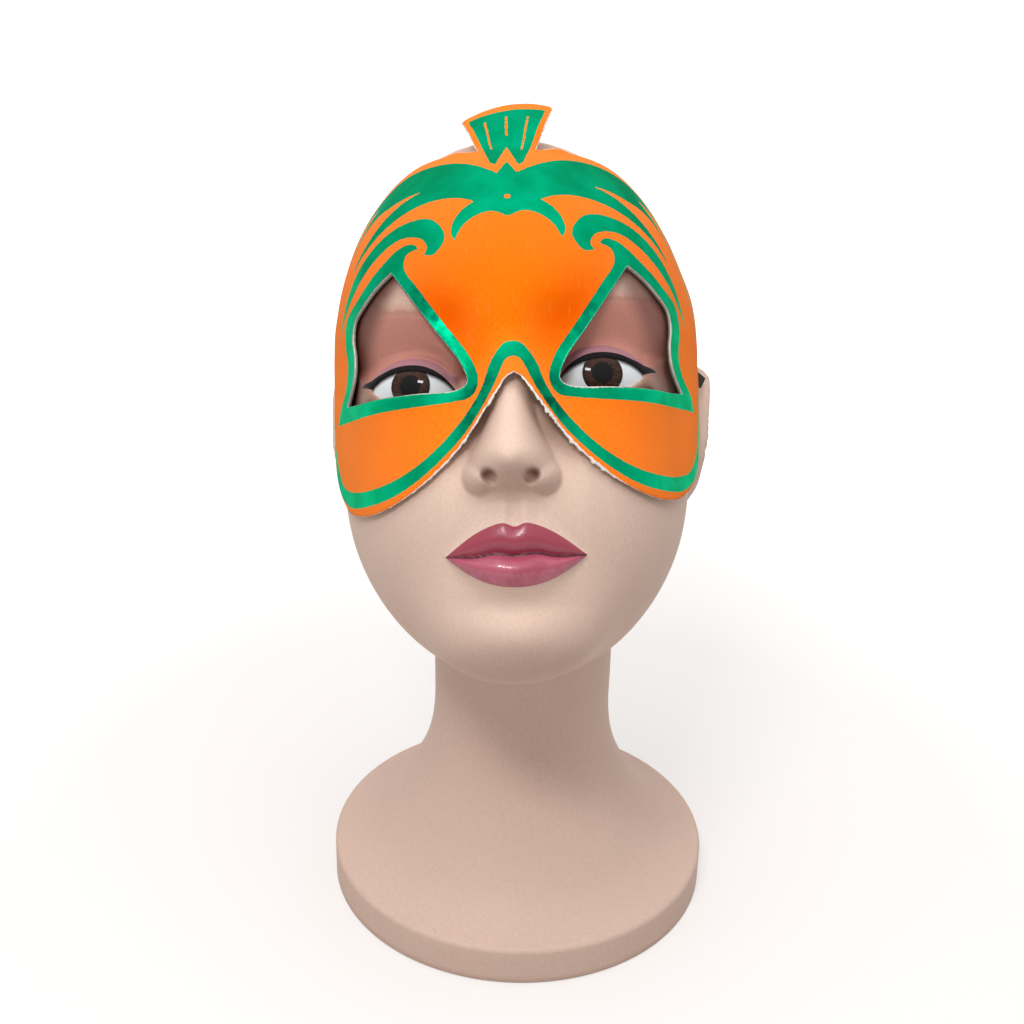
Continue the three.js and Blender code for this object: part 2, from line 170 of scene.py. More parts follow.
paper, tree, shader = new_material("sweep_paper")
feed(tree, shader, {"Base Color": PAPER_GREY, "Roughness": 0.95, "Specular IOR Level": 0.0})
from_foot = add_node(tree, "VectorMath", {0: add_node(tree, "TexCoord").outputs["Object"]})
from_foot.operation = "LENGTH"
glow = ranged(tree, from_foot.outputs["Value"], *SWEEP_FADES, PAPER_GLOW, 1.0, False)
not_diffuse = reckon(tree, "SUBTRACT", 1.0, add_node(tree, "LightPath").outputs["Is Diffuse Ray"])
feed(tree, shader, {"Emission Color": WHITE, "Emission Strength": product(tree, glow, not_diffuse)})
floor_mesh.materials.append(paper)

# The display head: one hollow plastic moulding with a long neck and a round foot, matt and skin-coloured.
# Its shapes are worked out in millimetres, in the head's own upright axes, and leant back on the neck.
MM = 0.001
FOOT_RADIUS = 81.4
FOOT_THICKNESS = 17.2
FOOT_ROUNDING = 2.5
FOOT_CHAMFER = 0.6
NECK_RADIUS = 37.3
NECK_LEANS_BACK = 6
NECK_CAP = 185
FLARE_TOP = 98
NECK_FLARE = [(0, NECK_RADIUS), (14, NECK_RADIUS), (26, 38.6), (38, 42), (51, 48.5), (64, 57.5), (74, 67)]
HEAD_AT = np.array([-4.9, 0, 196.9])
HEAD_LEAN = radians(27.5)
HEAD_ROLL = radians(-3.4)
HEAD_TURN = radians(-1)

CRANIUM = ((0, 3, 41.7), (67.9, 90, 82))
SIDES = ((0, -4, -13.5), (65.8, 68, 62))
FACE = ((1.4, -34, -28.2), (54.8, 66, 59.3))
CHIN = ((1, -74, -66), (24, 20, 17))
BLENDS = (22, 21, 22)
NECK_BLEND = 16

HEAD_TURNS = np.array(
    Matrix.Rotation(HEAD_TURN, 3, "Z")
    @ Matrix.Rotation(HEAD_ROLL, 3, "Y")
    @ Matrix.Rotation(-HEAD_LEAN, 3, "X")
)


def to_world(p):
    """Points in the head's axes, turned and moved to where the head sits on the neck."""
    return p @ HEAD_TURNS.T + HEAD_AT


def to_head(p):
    """The inverse of to_world."""
    return (p - HEAD_AT) @ HEAD_TURNS


def ease(value, start, end):
    """0 before start, 1 after end, and 3t squared less 2t cubed between them."""
    t = np.clip((value - start) / (end - start), 0, 1)
    return t * t * (3 - 2 * t)


def hump(x, width, power=2):
    """A bell: e to the power of minus |x / width| raised to a power."""
    return np.exp(-np.abs(x / width) ** power)


def above_ellipsoid(p, mass):
    """Height above an ellipsoid: with q the point over the radii, |q| (|q| - 1) over |q / radii|."""
    centre, radii = np.array(mass[0]), np.array(mass[1])
    q = (p - centre) / radii
    near = np.linalg.norm(q, axis=-1)
    return near * (near - 1) / (np.linalg.norm(q / radii, axis=-1) + 1e-9)


def soften(a, b, width):
    """The lower of two heights, with a fillet of the given width where they cross."""
    h = np.clip(0.5 + 0.5 * (b - a) / width, 0, 1)
    return b + (a - b) * h - width * h * (1 - h)


def above_skull(p):
    """Height above the plain head: four ellipsoids joined with soft fillets."""
    height = above_ellipsoid(p, CRANIUM)
    for mass, blend in zip((SIDES, FACE, CHIN), BLENDS):
        height = soften(height, above_ellipsoid(p, mass), blend)
    return height


def neck_middle(z):
    """How far behind the foot's middle the neck's middle lies at a height."""
    return NECK_LEANS_BACK * ease(z, 60, 170)


def above_stand(p):
    """Height above the head joined to a round, upright neck, capped inside the head."""
    tube = np.hypot(p[..., 0], p[..., 1] - neck_middle(p[..., 2])) - NECK_RADIUS
    return soften(above_skull(to_head(p)), np.maximum(tube, p[..., 2] - NECK_CAP), NECK_BLEND)


FAR_OUT = 190.0
WALK_STEPS = 50
WALK_SHARE = 0.85


def meet(origin, direction, above):
    """Walks in along rays to a surface, each step a share of the height that is left."""
    reach = np.full(direction.shape[:-1], FAR_OUT)
    for _ in range(WALK_STEPS):
        reach -= WALK_SHARE * above(origin + direction * reach[..., None])
    return reach


def smooth_line(stops, x):
    """A curve through stops (x, y): cubic Hermite pieces, with the mean of the slopes around at each stop."""
    xs, ys = np.array(stops, float).T
    slopes = np.gradient(ys, xs)
    i = np.clip(np.searchsorted(xs, x) - 1, 0, len(xs) - 2)
    step = xs[i + 1] - xs[i]
    t = np.clip((x - xs[i]) / step, 0, 1)
    rise = 3 * t**2 - 2 * t**3
    return (
        ys[i] * (1 - rise)
        + ys[i + 1] * rise
        + step * (slopes[i] * (t**3 - 2 * t**2 + t) + slopes[i + 1] * (t**3 - t**2))
    )


# The eyes' places and the drawn lines of their lids, in mm out from and up from each eye's middle
EYE_SPACING = 66.6
EYE_HEIGHT = 18.8
EYE_SLANT = 1.5
EYE_FRONT = 76.5
EYE_TURN = 0.3
EYE_BOW = (0.030, 0.035)
EYE_CORNERS = (-14.8, 14.6)
INNER_DROP = -1.6
UPPER_ARCH = 6.0
LOWER_ARCH = 5.6
LID_THICKNESS = 1.1
LINER_TOP = [(-15.4, -1.2), (-12, 2.6), (-7, 5.9), (0, 7.4), (6, 6.9), (11, 5.3), (15, 4.0), (20, 2.6)]
CREASE = [(-15, 3.2), (-10, 7.6), (-5, 9.8), (0, 10.5), (5, 10.0), (10, 8.0), (15, 4.6), (19, 2.0)]


def eye_frame(p):
    """For points in the head's axes: how far out from the nearer eye's middle, and how far up."""
    out = np.abs(p[..., 0]) - EYE_SPACING / 2
    up = p[..., 2] - EYE_HEIGHT - np.sign(p[..., 0]) * EYE_SLANT
    return out, up


def lid_lines(out):
    """The upper and lower lids' edges: arches of 4t(1-t) to the 0.75 on the line between the corners."""
    inner, outer = EYE_CORNERS
    t = np.clip((out - inner) / (outer - inner), 0, 1)
    arch = (4 * t * (1 - t)) ** 0.75
    base = INNER_DROP * (1 - t)
    return base + UPPER_ARCH * arch, base - LOWER_ARCH * arch


def inside_eye(out, up):
    """Roughly the distance inside the opening between the lids, negative on the skin."""
    upper, lower = lid_lines(out)
    between = np.minimum(upper - up, up - lower)
    return np.minimum(between, np.minimum(out - EYE_CORNERS[0], EYE_CORNERS[1] - out))


def eye_surface(out, up):
    """How far forward the eye lies: a bow across and a bow up, turned a little to the outside."""
    return EYE_FRONT - EYE_TURN * out - EYE_BOW[0] * out**2 - EYE_BOW[1] * up**2


# The nose, mouth and chin, measured from the middle of the nose. A nose profile's stops are heights
# and how far the nose stands off there; its width's stops are heights and half widths.
MIDDLE_ASIDE = 2.2
NOSE_PROFILE = [
    (-25, 0), (-22.3, 2.5), (-18, 10), (-14, 15.5), (-10.5, 18.3), (-4, 17), (5, 13.5), (15, 9.5), (26, 5),
    (36, 0),
]
NOSE_WIDTH = [
    (-26, 10), (-21, 14.5), (-17, 16), (-10, 14.2), (-3.3, 11.2), (3.2, 8.9), (12, 7.6), (26, 7), (36, 8),
]
NOSE_TIP = (-10.5, 18.5)
WING_AT = (10.2, -16.4)
WING_SIZE = (6.4, 6.6, 9.6)
NOSTRIL_AT = (6.8, -17.0)
NOSTRIL_SIZE = (2.6, 2.3)
NOSTRIL_DEPTH = 3.6
MOUTH_ASIDE = 0.9
MOUTH_HALF_WIDTH = 23.8
MOUTH_HEIGHT = -42.7
UPPER_LIP = 11.2
LOWER_LIP = 10.3


def higher(a, b, width):
    """The higher of two heights, with a fillet of the given width where they cross."""
    return -soften(-a, -b, width)


def nose_push(x, z):
    """How far the nose stands off the face: a wedge that widens downwards, a round tip and two wings."""
    side = np.abs(x)
    share = np.clip(side / smooth_line(NOSE_WIDTH, z), 0, 1)
    wedge = smooth_line(NOSE_PROFILE, z) * (1 - share**2.4) ** 0.9
    below = NOSE_TIP[0] - z
    tip = NOSE_TIP[1] * hump(np.hypot(x / 9, below / np.where(below > 0, 8.5, 12)), 1, 2.6)
    ring = ((side - WING_AT[0]) / WING_SIZE[0]) ** 2 + ((z - WING_AT[1]) / WING_SIZE[1]) ** 2
    wing = WING_SIZE[2] * np.clip(1 - ring, 0, 1) ** 0.75
    return np.maximum(higher(higher(wedge, tip, 3), wing, 1.6) - 0.9, 0)


def nostrils(x, z):
    """1 in the two nostrils and 0 away from them."""
    across, up = NOSTRIL_AT
    side = np.abs(x) - across
    height = z - up - 0.22 * side
    return hump(np.hypot(side / NOSTRIL_SIZE[0], height / NOSTRIL_SIZE[1]), 1, 8)


def lip_lines(x):
    """Heights of the upper lip's edge, the mouth line and the lower lip's edge, from the corners."""
    t = np.clip(np.abs(x) / MOUTH_HALF_WIDTH, 0, 1)
    upper = UPPER_LIP * (1 - t * t) ** 1.15 - 1.7 * hump(x, 2.6)
    lower = -LOWER_LIP * (1 - t**2.2) ** 1.1
    line = 0.7 * hump(np.abs(x) - 6.5, 4) - 1.1 * hump(np.abs(x) - 16, 5) * (1 - t)
    return upper, line, lower


def inside_lips(x, z):
    """Roughly the distance inside the painted lips, negative on the skin."""
    upper, _, lower = lip_lines(x)
    up = z - MOUTH_HEIGHT
    return np.minimum(np.minimum(upper - up, up - lower), MOUTH_HALF_WIDTH - np.abs(x))


def mouth_line(x, z):
    """How far a place is above the line between the lips."""
    return z - MOUTH_HEIGHT - lip_lines(x)[1]


def lip_push(x, z):
    """The lips' fullness: each rises from the mouth line as the root of the way to its edge, then fades."""
    upper, line, lower = lip_lines(x)
    up = z - MOUTH_HEIGHT
    t = np.clip(np.abs(x) / MOUTH_HALF_WIDTH, 0, 1)
    above = np.clip((up - line) / np.maximum(upper - line, 0.6), 0, 4)
    below = np.clip((line - up) / np.maximum(line - lower, 0.6), 0, 4)
    top = 5.6 * above**0.5 * hump(above - 0.2, 0.75)
    bottom = 8.2 * below**0.5 * hump(below - 0.2, 0.75)
    edge = 0.45 * ease(inside_lips(x, z), -0.3, 0.7)
    return (top + bottom + edge) * (1 - t * t) ** 0.6 - 0.6 * (1 - t**6)


def carve_face(p):
    """Moves points of the plain head forward and back to the carved face."""
    out, up = eye_frame(p)
    x = p[..., 0] - MIDDLE_ASIDE
    z = p[..., 2]
    socket = 6 * hump(out, 20) * hump(up - 6, 12)
    groove = 2 * hump(z + 59, 5) * hump(x, 16)
    chin = 2 * hump(z + 72, 9) * hump(x, 14)
    philtrum = (0.7 * hump(np.abs(x - 0.6) - 3.6, 1.8) - 0.6 * hump(x - 0.6, 1.9)) * hump(z + 28.5, 4)
    front = -p[..., 1] - socket + nose_push(x, z) + lip_push(x - MOUTH_ASIDE, z)
    front += chin + philtrum - groove
    front -= NOSTRIL_DEPTH * nostrils(x, z)
    opening = inside_eye(out, up)
    lidded = (1 - ease(-opening, 1.8, 11)) * (np.abs(out) < 30) * (np.abs(up) < 30)
    front += lidded * (eye_surface(out, up) + LID_THICKNESS - front)
    crease = smooth_line(CREASE, np.clip(out, -15, 19))
    fold = 0.9 * hump(up - crease, 0.8) * (1 - ease(np.abs(out - 1), 11, 17))
    front = front - fold - 3.2 * ease(opening, -0.25, 0.25)
    facing = ease(-p[..., 1], 10, 30)
    carved = p.copy()
    carved[..., 1] += facing * (-front - p[..., 1])
    return carved


# The ears, measured back and up from the middle of the head, and how far each stands out
EAR_AT = (14, 9)
EAR_SIZE = (15, 30)
LEFT_EAR_REACH = 8
RIGHT_EAR_REACH = 12.5


def raise_ears(p):
    """Turns the ears out from the head's sides: a rolled rim and a fold round a hollow, and a lobe."""
    back = (p[..., 1] - EAR_AT[0] - 0.18 * (p[..., 2] - EAR_AT[1])) / EAR_SIZE[0]
    up = (p[..., 2] - EAR_AT[1]) / EAR_SIZE[1]
    ring = np.hypot(back, up)
    plate = 1 - ease(ring, 0.7, 1.17)
    reach = np.where(p[..., 0] > 0, RIGHT_EAR_REACH, LEFT_EAR_REACH)
    outward = reach * (0.7 + 0.26 * up + 0.1 * np.clip(back, -1, 1))
    rim = 1.6 * hump(ring - 0.8, 0.16) * ease(up, -0.75, -0.35)
    valley = 2.6 * hump(ring - 0.56, 0.13) * ease(up, -0.55, -0.2) * ease(back, -0.7, -0.1)
    bowl = 5 * hump(np.hypot((back + 0.18) / 0.42, (up + 0.14) / 0.36), 1, 3)
    tragus = 0.7 * hump(np.hypot((back + 0.72) / 0.24, (up + 0.12) / 0.18), 1, 2)
    push = plate * (outward + rim - valley - bowl + tragus)
    raised = p.copy()
    raised[..., 0] += np.sign(p[..., 0]) * push * ease(np.abs(p[..., 0]), 40, 55)
    return raised


# How the skin's points are spread: columns crowd at the face and ears, rows at the eyes and mouth
COLUMNS = 336
FACE_CROWDING = 4.2
EAR_CROWDING = 2.6
EAR_BEARING = radians(107)
HEAD_ROWS = 256
ROW_SHARES = ((0, 0), (0.12, 0.45), (0.36, 0.56), (0.77, 0.68), (0.84, 0.72), (0.91, 0.86), (1, 1))
UNDER_JAW = 0.86
BELOW_JAW = 0.93
JAW_ANGLE = radians(62)
LAST_ANGLE = radians(14)
LAST_HEAD_ROW = 118
FORM_CENTRE = np.array([0, -8, 18.0])


def column_bearings(count):
    """Bearings round the stand: their density is 1, more by a bell at the face and one at each ear."""
    bearing = np.linspace(-pi, pi, 2881)
    at_ears = EAR_CROWDING * hump(np.abs(bearing) - EAR_BEARING, 0.22)
    density = 1 + FACE_CROWDING * hump(bearing, 0.62, 3) + at_ears
    total = np.concatenate([[0], np.cumsum((density[1:] + density[:-1]) / 2)])
    return np.interp(np.arange(count) / count * total[-1], total, bearing)


def head_rows(bearings):
    """Loops round the stand from crown to neck: rays from the head's middle, which sinks below the chin."""
    share = np.interp(np.arange(1, HEAD_ROWS + 1) / HEAD_ROWS, *np.array(ROW_SHARES).T)
    rise = np.interp(share, (0, UNDER_JAW, BELOW_JAW, 1), (pi / 2, -JAW_ANGLE, -JAW_ANGLE, -LAST_ANGLE))
    centre = to_world(FORM_CENTRE)
    neck_top = centre[2] - NECK_RADIUS * np.tan(JAW_ANGLE)
    on_neck = np.interp(share, (UNDER_JAW, 1), (neck_top, LAST_HEAD_ROW)) + NECK_RADIUS * np.tan(-rise)
    start = np.stack([
        centre[0] * (1 - ease(share, 0.7, 1)),
        np.interp(share, (0, UNDER_JAW, 1), (centre[1], centre[1], 3)),
        np.where(share > UNDER_JAW, on_neck, centre[2]),
    ], -1)
    leaning = 1 - ease(share, 0.45, 0.86)
    rays = np.stack(np.broadcast_arrays(
        np.sin(bearings) * np.cos(rise)[:, None],
        -np.cos(bearings) * np.cos(rise)[:, None],
        np.sin(rise)[:, None],
    ), -1)
    turns = np.array([
        np.array(Matrix.Rotation(HEAD_ROLL * t, 3, "Y") @ Matrix.Rotation(-HEAD_LEAN * t, 3, "X"))
        for t in leaning
    ])
    rays = np.einsum("rij,rcj->rci", turns, rays)
    starts = np.broadcast_to(start[:, None], rays.shape)
    return starts + rays * meet(starts, rays, above_stand)[..., None]


def foot_rows(bearings):
    """Level loops down the flare of the neck, over the foot's rounded rim and down its side."""
    flare_height = FLARE_TOP - FOOT_THICKNESS
    drop = np.linspace(0, flare_height, 24)
    radius = smooth_line([*NECK_FLARE, (flare_height, FOOT_RADIUS - FOOT_ROUNDING)], drop)
    turn = np.linspace(0, pi / 2, 9)[1:]
    rim_radius = FOOT_RADIUS - FOOT_ROUNDING * (1 - np.sin(turn))
    rim_drop = flare_height + FOOT_ROUNDING * (1 - np.cos(turn))
    side_drop = np.linspace(rim_drop[-1], FLARE_TOP - FOOT_CHAMFER, 6)[1:]
    radius = np.concatenate([radius, rim_radius, np.full(5, FOOT_RADIUS), [FOOT_RADIUS - FOOT_CHAMFER]])
    height = FLARE_TOP - np.concatenate([drop, rim_drop, side_drop, [FLARE_TOP]])
    return np.stack(np.broadcast_arrays(
        radius[:, None] * np.sin(bearings),
        neck_middle(height)[:, None] - radius[:, None] * np.cos(bearings),
        height[:, None],
    ), -1)


def put_mesh(name, points, triangles):
    """A smooth mesh object from arrays of points in metres and of triangles."""
    mesh = bpy.data.meshes.new(name)
    mesh.from_pydata(points.tolist(), [], triangles.tolist(), shade_flat=False)
    piece = bpy.data.objects.new(name, mesh)
    bpy.context.scene.collection.objects.link(piece)
    return piece


def put_attributes(piece, **attributes):
    """Named numbers for each vertex, for the material to read."""
    for name, values in attributes.items():
        attribute = piece.data.attributes.new(name, "FLOAT", "POINT")
        attribute.data.foreach_set("value", np.ascontiguousarray(values, np.float32).ravel())


def loop_triangles(rows, columns):
    """Triangles of a closed skin: point 0, then rows of loops, then a last point."""
    i = np.arange(columns)
    after = (i + 1) % columns
    top = np.stack([np.zeros_like(i), 1 + i, 1 + after], -1)
    row = 1 + np.arange(rows - 1)[:, None] * columns
    a, b = row + i, row + after
    left = np.stack([a, a + columns, b + columns], -1).reshape(-1, 3)
    right = np.stack([a, b + columns, b], -1).reshape(-1, 3)
    last = 1 + rows * columns
    foot = np.stack([last - columns + after, last - columns + i, np.full_like(i, last)], -1)
    return np.concatenate([top, left, right, foot])


bearings = column_bearings(COLUMNS)
skin_rows = to_head(head_rows(bearings))
skin_rows = raise_ears(carve_face(skin_rows))
plain_rows = to_head(foot_rows(bearings))
rows = np.concatenate([skin_rows, plain_rows])
crown = to_head(to_world(skin_rows[0]).mean(0))
skin_points = np.concatenate([crown[None], rows.reshape(-1, 3), to_head(np.zeros((1, 3)))])
head = put_mesh("head_skin", to_world(skin_points) * MM, loop_triangles(len(rows), COLUMNS))

# The paint's drawing, with its painted shade and shadow, as numbers on the skin's points
LINER_ENDS = (-15.6, 19.6)
WING_RISE = 2.4
OFF = 9

height = skin_points[:, 2]
middle_x = skin_points[:, 0] - MIDDLE_ASIDE
on_face = ease(-skin_points[:, 1], 20, 35)
face = on_face > 0
paint_out, paint_up = eye_frame(skin_points)
wing_start = EYE_CORNERS[1] - 1
liner_top = smooth_line(LINER_TOP, np.clip(paint_out, -15.4, 20))
wing_foot = np.interp(paint_out, (wing_start, 20), (0.0, WING_RISE))
liner_foot = np.where(paint_out > wing_start, wing_foot, lid_lines(paint_out)[0] - 3)
liner = np.minimum(liner_top - paint_up, paint_up - liner_foot)
liner = np.minimum(liner, np.minimum(LINER_ENDS[1] - paint_out, paint_out - LINER_ENDS[0]))
shadow = smooth_line(CREASE, np.clip(paint_out, -15, 19)) - paint_up
# Painted shadow: dark brown inside the mask's eye openings, along their outer edges, where the mask's edge
# shades the skin.
hole_edge = 23.5 - 0.0155 * np.maximum(paint_up - 8, 0) ** 2
temple = ease(paint_out - hole_edge, -11, -2) * ease(paint_up, -12, -4) * ease(paint_up, 52, 40)
temple *= np.where(skin_points[:, 0] < 0, 0.95, 0.72)
# Painted shade in the nostrils, darkest under their roofs.
nostril_roof = 0.2 + 0.8 * ease(height + 0.45 * np.abs(middle_x), -15.6, -12.2)
under_nose = hump(np.hypot(middle_x / 15, (height + 19.5) / 6.5), 1, 4)
under_chin = hump(np.hypot(middle_x / 26, (height + 80) / 9), 1, 4)
beside_nose = hump(np.abs(middle_x) - 14.5, 7) * hump(height - 3, 13)
under_wing = hump(np.hypot((paint_out - 15.5) / 5, (paint_up + 3.5) / 4), 1, 4)
in_shade = 0.5 * under_nose + 0.45 * under_chin + 1.1 * beside_nose + 1.3 * under_wing
put_attributes(
    head,
    on_face=on_face,
    eye_out=paint_out,
    eye_up=paint_up,
    lips=np.where(face, inside_lips(middle_x - MOUTH_ASIDE, height), -OFF),
    mouth_line=np.where(face, mouth_line(middle_x - MOUTH_ASIDE, height), OFF),
    liner=np.where(face, liner, -OFF),
    shadow=np.where(face & (np.abs(paint_out) < 17), shadow, -OFF),
    temple=on_face * temple,
    nostril=on_face * nostrils(middle_x, height) * nostril_roof,
    in_shade=on_face * in_shade,
)


def read_attribute(tree, name):
    """The socket that gives a vertex attribute's number."""
    node = add_node(tree, "Attribute")
    node.attribute_name = name
    return node.outputs["Fac"]


def mixed(tree, share, first, second, blend="MIX"):
    """Two colours mixed by a share, through the Mix node's colour sockets: 6, 7 and output 2."""
    node = add_node(tree, "Mix")
    node.data_type = "RGBA"
    node.blend_type = blend
    return feed(tree, node, {0: share, 6: first, 7: second}).outputs[2]


def noise(tree, scale, detail=3.0, stretch=None, vector=None):
    """Noise in the object's own millimetres, or on another vector, stretched if asked."""
    if vector is None:
        vector = add_node(tree, "TexCoord").outputs["Object"]
        stretch = stretch or (1000, 1000, 1000)
    if stretch:
        vector = add_node(tree, "Mapping", {"Vector": vector, "Scale": stretch}).outputs["Vector"]
    values = {"Vector": vector, "Scale": scale, "Detail": detail}
    return add_node(tree, "TexNoise", values).outputs["Fac"]


def bumped(tree, height, distance, strength):
    """The normal of a bump of a distance in metres."""
    values = {"Height": height, "Distance": distance, "Strength": strength}
    return add_node(tree, "Bump", values).outputs["Normal"]


SKIN = (0.735, 0.53, 0.43, 1)
SKIN_COOL = (0.715, 0.52, 0.425, 1)
SOCKET_BLUSH = (0.47, 0.175, 0.13, 1)
BROW_BROWN = (0.30, 0.09, 0.06, 1)
TEMPLE_BROWN = (0.13, 0.045, 0.03, 1)
SHADE_BROWN = (0.33, 0.18, 0.12, 1)
LID_SHADOW = (0.36, 0.165, 0.19, 1)
LINER_BLACK = (0.008, 0.007, 0.008, 1)
LIP_PAINT = (0.46, 0.10, 0.155, 1)
LIP_DEEP = (0.33, 0.035, 0.07, 1)
LIP_UPPER = (0.33, 0.045, 0.075, 1)
MOUTH_DARK = (0.10, 0.012, 0.025, 1)
NOSTRIL_BROWN = (0.19, 0.095, 0.06, 1)

BROW_RISE = 0.17
BLUSH_SHARE = 0.92
BROW_SHARE = 0.3
SHADE_SHARE = 0.6

skin, tree, shader = new_material("moulded_skin")
base = mixed(tree, ranged(tree, noise(tree, 0.02, 4), 0.3, 0.7), SKIN, SKIN_COOL)
eye_up = read_attribute(tree, "eye_up")
eye_out = read_attribute(tree, "eye_out")
face_share = read_attribute(tree, "on_face")
# The eye sockets: a dark reddish blush, partly make-up and partly painted shade from the mask over them.
over_eye = ranged(tree, eye_up, -6.0, 5.0)
outer_fade = ranged(tree, reckon(tree, "ABSOLUTE", eye_out), 20.0, 30.0, 1.0, 0.0)
brow_up = reckon(tree, "SUBTRACT", eye_up, product(tree, eye_out, BROW_RISE))
brow_up = reckon(tree, "ADD", brow_up, ranged(tree, noise(tree, 0.25), 0.3, 0.7, -0.4, 0.4))
under_brow = ranged(tree, brow_up, 22.5, 31.0, 1.0, 0.25)
blush = product(tree, over_eye, outer_fade, under_brow, face_share, BLUSH_SHARE)
base = mixed(tree, blush, base, SOCKET_BLUSH)
brow_foot = ranged(tree, brow_up, 24.4, 25.9)
brow_top = ranged(tree, brow_up, 25.9, 27.6, 1.0, 0.0)
brow = product(tree, brow_foot, brow_top, outer_fade, face_share, BROW_SHARE)
base = mixed(tree, brow, base, BROW_BROWN)
# Painted shadow of the mask's eye-opening edges.
base = mixed(tree, read_attribute(tree, "temple"), base, TEMPLE_BROWN)
base = mixed(tree, product(tree, read_attribute(tree, "in_shade"), SHADE_SHARE), base, SHADE_BROWN)
shadow = ranged(tree, read_attribute(tree, "shadow"), -0.1, 0.5)
shadow = product(tree, shadow, ranged(tree, eye_up, -1.0, 2.5))
base = mixed(tree, shadow, base, LID_SHADOW)
liner_share = ranged(tree, read_attribute(tree, "liner"), -0.1, 0.15)
base = mixed(tree, liner_share, base, LINER_BLACK)
# Painted shade in the nostrils.
base = mixed(tree, read_attribute(tree, "nostril"), base, NOSTRIL_BROWN)
lip_share = ranged(tree, read_attribute(tree, "lips"), -0.12, 0.15)
lip_mottle = ranged(tree, noise(tree, 0.12), 0.3, 0.75, 0.0, 0.6)
line_height = read_attribute(tree, "mouth_line")
from_line = reckon(tree, "ABSOLUTE", line_height)
lip_colour = mixed(tree, lip_mottle, LIP_PAINT, LIP_DEEP)
lip_colour = mixed(tree, ranged(tree, line_height, -0.2, 0.4), lip_colour, LIP_UPPER)
# Painted shade: a thin dark line along the mouth line, where the upper lip turns under.
lip_colour = mixed(tree, ranged(tree, from_line, 0.15, 0.6, 1.0, 0.0), lip_colour, MOUTH_DARK)
base = mixed(tree, lip_share, base, lip_colour)
grain = ranged(tree, noise(tree, 0.9, 4), 0.25, 0.75, 0.93, 1.05, False)
grain_colour = add_node(tree, "CombineColor", {0: grain, 1: grain, 2: grain})
base = mixed(tree, 1.0, base, grain_colour.outputs[0], "MULTIPLY")
gloss = reckon(tree, "MAXIMUM", lip_share, product(tree, liner_share, 0.3))
wet = ranged(tree, noise(tree, 1.1, 3, (1000, 1000, 250)), 0.42, 0.6, 0.08, 0.6)
wet_height = ranged(tree, line_height, 0.9, 0.2, 0.3, 1.0)
wet = product(tree, wet, wet_height, ranged(tree, from_line, 0.5, 1.4), lip_share)
feed(tree, shader, {
    "Base Color": base,
    "Roughness": ranged(tree, gloss, 0.0, 1.0, 0.62, 0.33, False),
    "Specular IOR Level": ranged(tree, liner_share, 0.0, 1.0, 0.5, 0.1, False),
    "Coat Weight": wet,
    "Coat Roughness": 0.1,
    "Normal": bumped(tree, noise(tree, 1.3, 4), 0.00012, 0.5),
})
head.data.materials.append(skin)
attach(head, "root")
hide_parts("display_head")

# The eyes: two moulded plastic shells set behind the lids. Each is painted white, with a brown iris and a
# black pupil, with a painted shadow of the upper lid across its top, and is lacquered to a gloss.
IRIS_RADIUS = 7.0
PUPIL_RADIUS = 3.7
EYE_RINGS = 60
EYE_SPOKES = 96
EYE_PATCH = (16.4, 7.8)
CLEAR_BULGE = 0.6
SHELL_DEPTH = 14
BEHIND = 30


def eye_shell(side):
    """A patch of the eye's surface on a polar grid, with a low bulge over the iris, closed behind."""
    ring = np.linspace(0, 1, EYE_RINGS + 1)[1:, None]
    spoke = np.arange(EYE_SPOKES) / EYE_SPOKES * 2 * pi
    out = np.append(0, EYE_PATCH[0] * ring * np.cos(spoke))
    up = np.append(0, EYE_PATCH[1] * ring * np.sin(spoke))
    bulge = CLEAR_BULGE * np.clip(1 - (np.hypot(out, up) / (IRIS_RADIUS + 1)) ** 2, 0, 1)
    front = eye_surface(out, up) + bulge
    points = np.stack([side * (EYE_SPACING / 2 + out), -front, up + EYE_HEIGHT + side * EYE_SLANT], -1)
    points = np.concatenate([points, points[:1] + (0, SHELL_DEPTH, 0)])
    faces = loop_triangles(EYE_RINGS, EYE_SPOKES)
    return points, faces if side < 0 else faces[:, ::-1], out, up


SCLERA = (0.72, 0.77, 0.79, 1)
IRIS_BROWN = (0.02, 0.007, 0.004, 1)
IRIS_LIGHT = (0.065, 0.024, 0.01, 1)
PUPIL = (0.001, 0.001, 0.0015, 1)
LID_STAIN = (0.06, 0.03, 0.025, 1)

eye_paint, tree, shader = new_material("eye_enamel")
from_pupil = read_attribute(tree, "from_pupil")
ray_across = product(tree, read_attribute(tree, "spoke"), 60.0)
ray_place = add_node(tree, "CombineXYZ", {"X": ray_across, "Y": product(tree, from_pupil, 0.6)})
rays = add_node(tree, "TexNoise")
rays.noise_dimensions = "2D"
feed(tree, rays, {"Vector": ray_place.outputs[0], "Scale": 1.0})
iris = mixed(tree, ranged(tree, rays.outputs["Fac"], 0.35, 0.7), IRIS_BROWN, IRIS_LIGHT)
iris = mixed(tree, ranged(tree, from_pupil, IRIS_RADIUS - 1.1, IRIS_RADIUS), iris, PUPIL)
base = mixed(tree, ranged(tree, from_pupil, IRIS_RADIUS - 0.15, IRIS_RADIUS + 0.2), iris, SCLERA)
base = mixed(tree, ranged(tree, from_pupil, PUPIL_RADIUS + 0.3, PUPIL_RADIUS - 0.2), base, PUPIL)
# Painted shadow of the upper lid across the top of the eye.
lid_stain = ranged(tree, read_attribute(tree, "under_lid"), 1.6, 0.0, 0.0, 0.85)
base = mixed(tree, lid_stain, base, LID_STAIN)
feed(tree, shader, {
    "Base Color": base,
    "Roughness": 0.5,
    "Specular IOR Level": 0.0,
    "Coat Weight": 0.55,
    "Coat Roughness": 0.02,
})

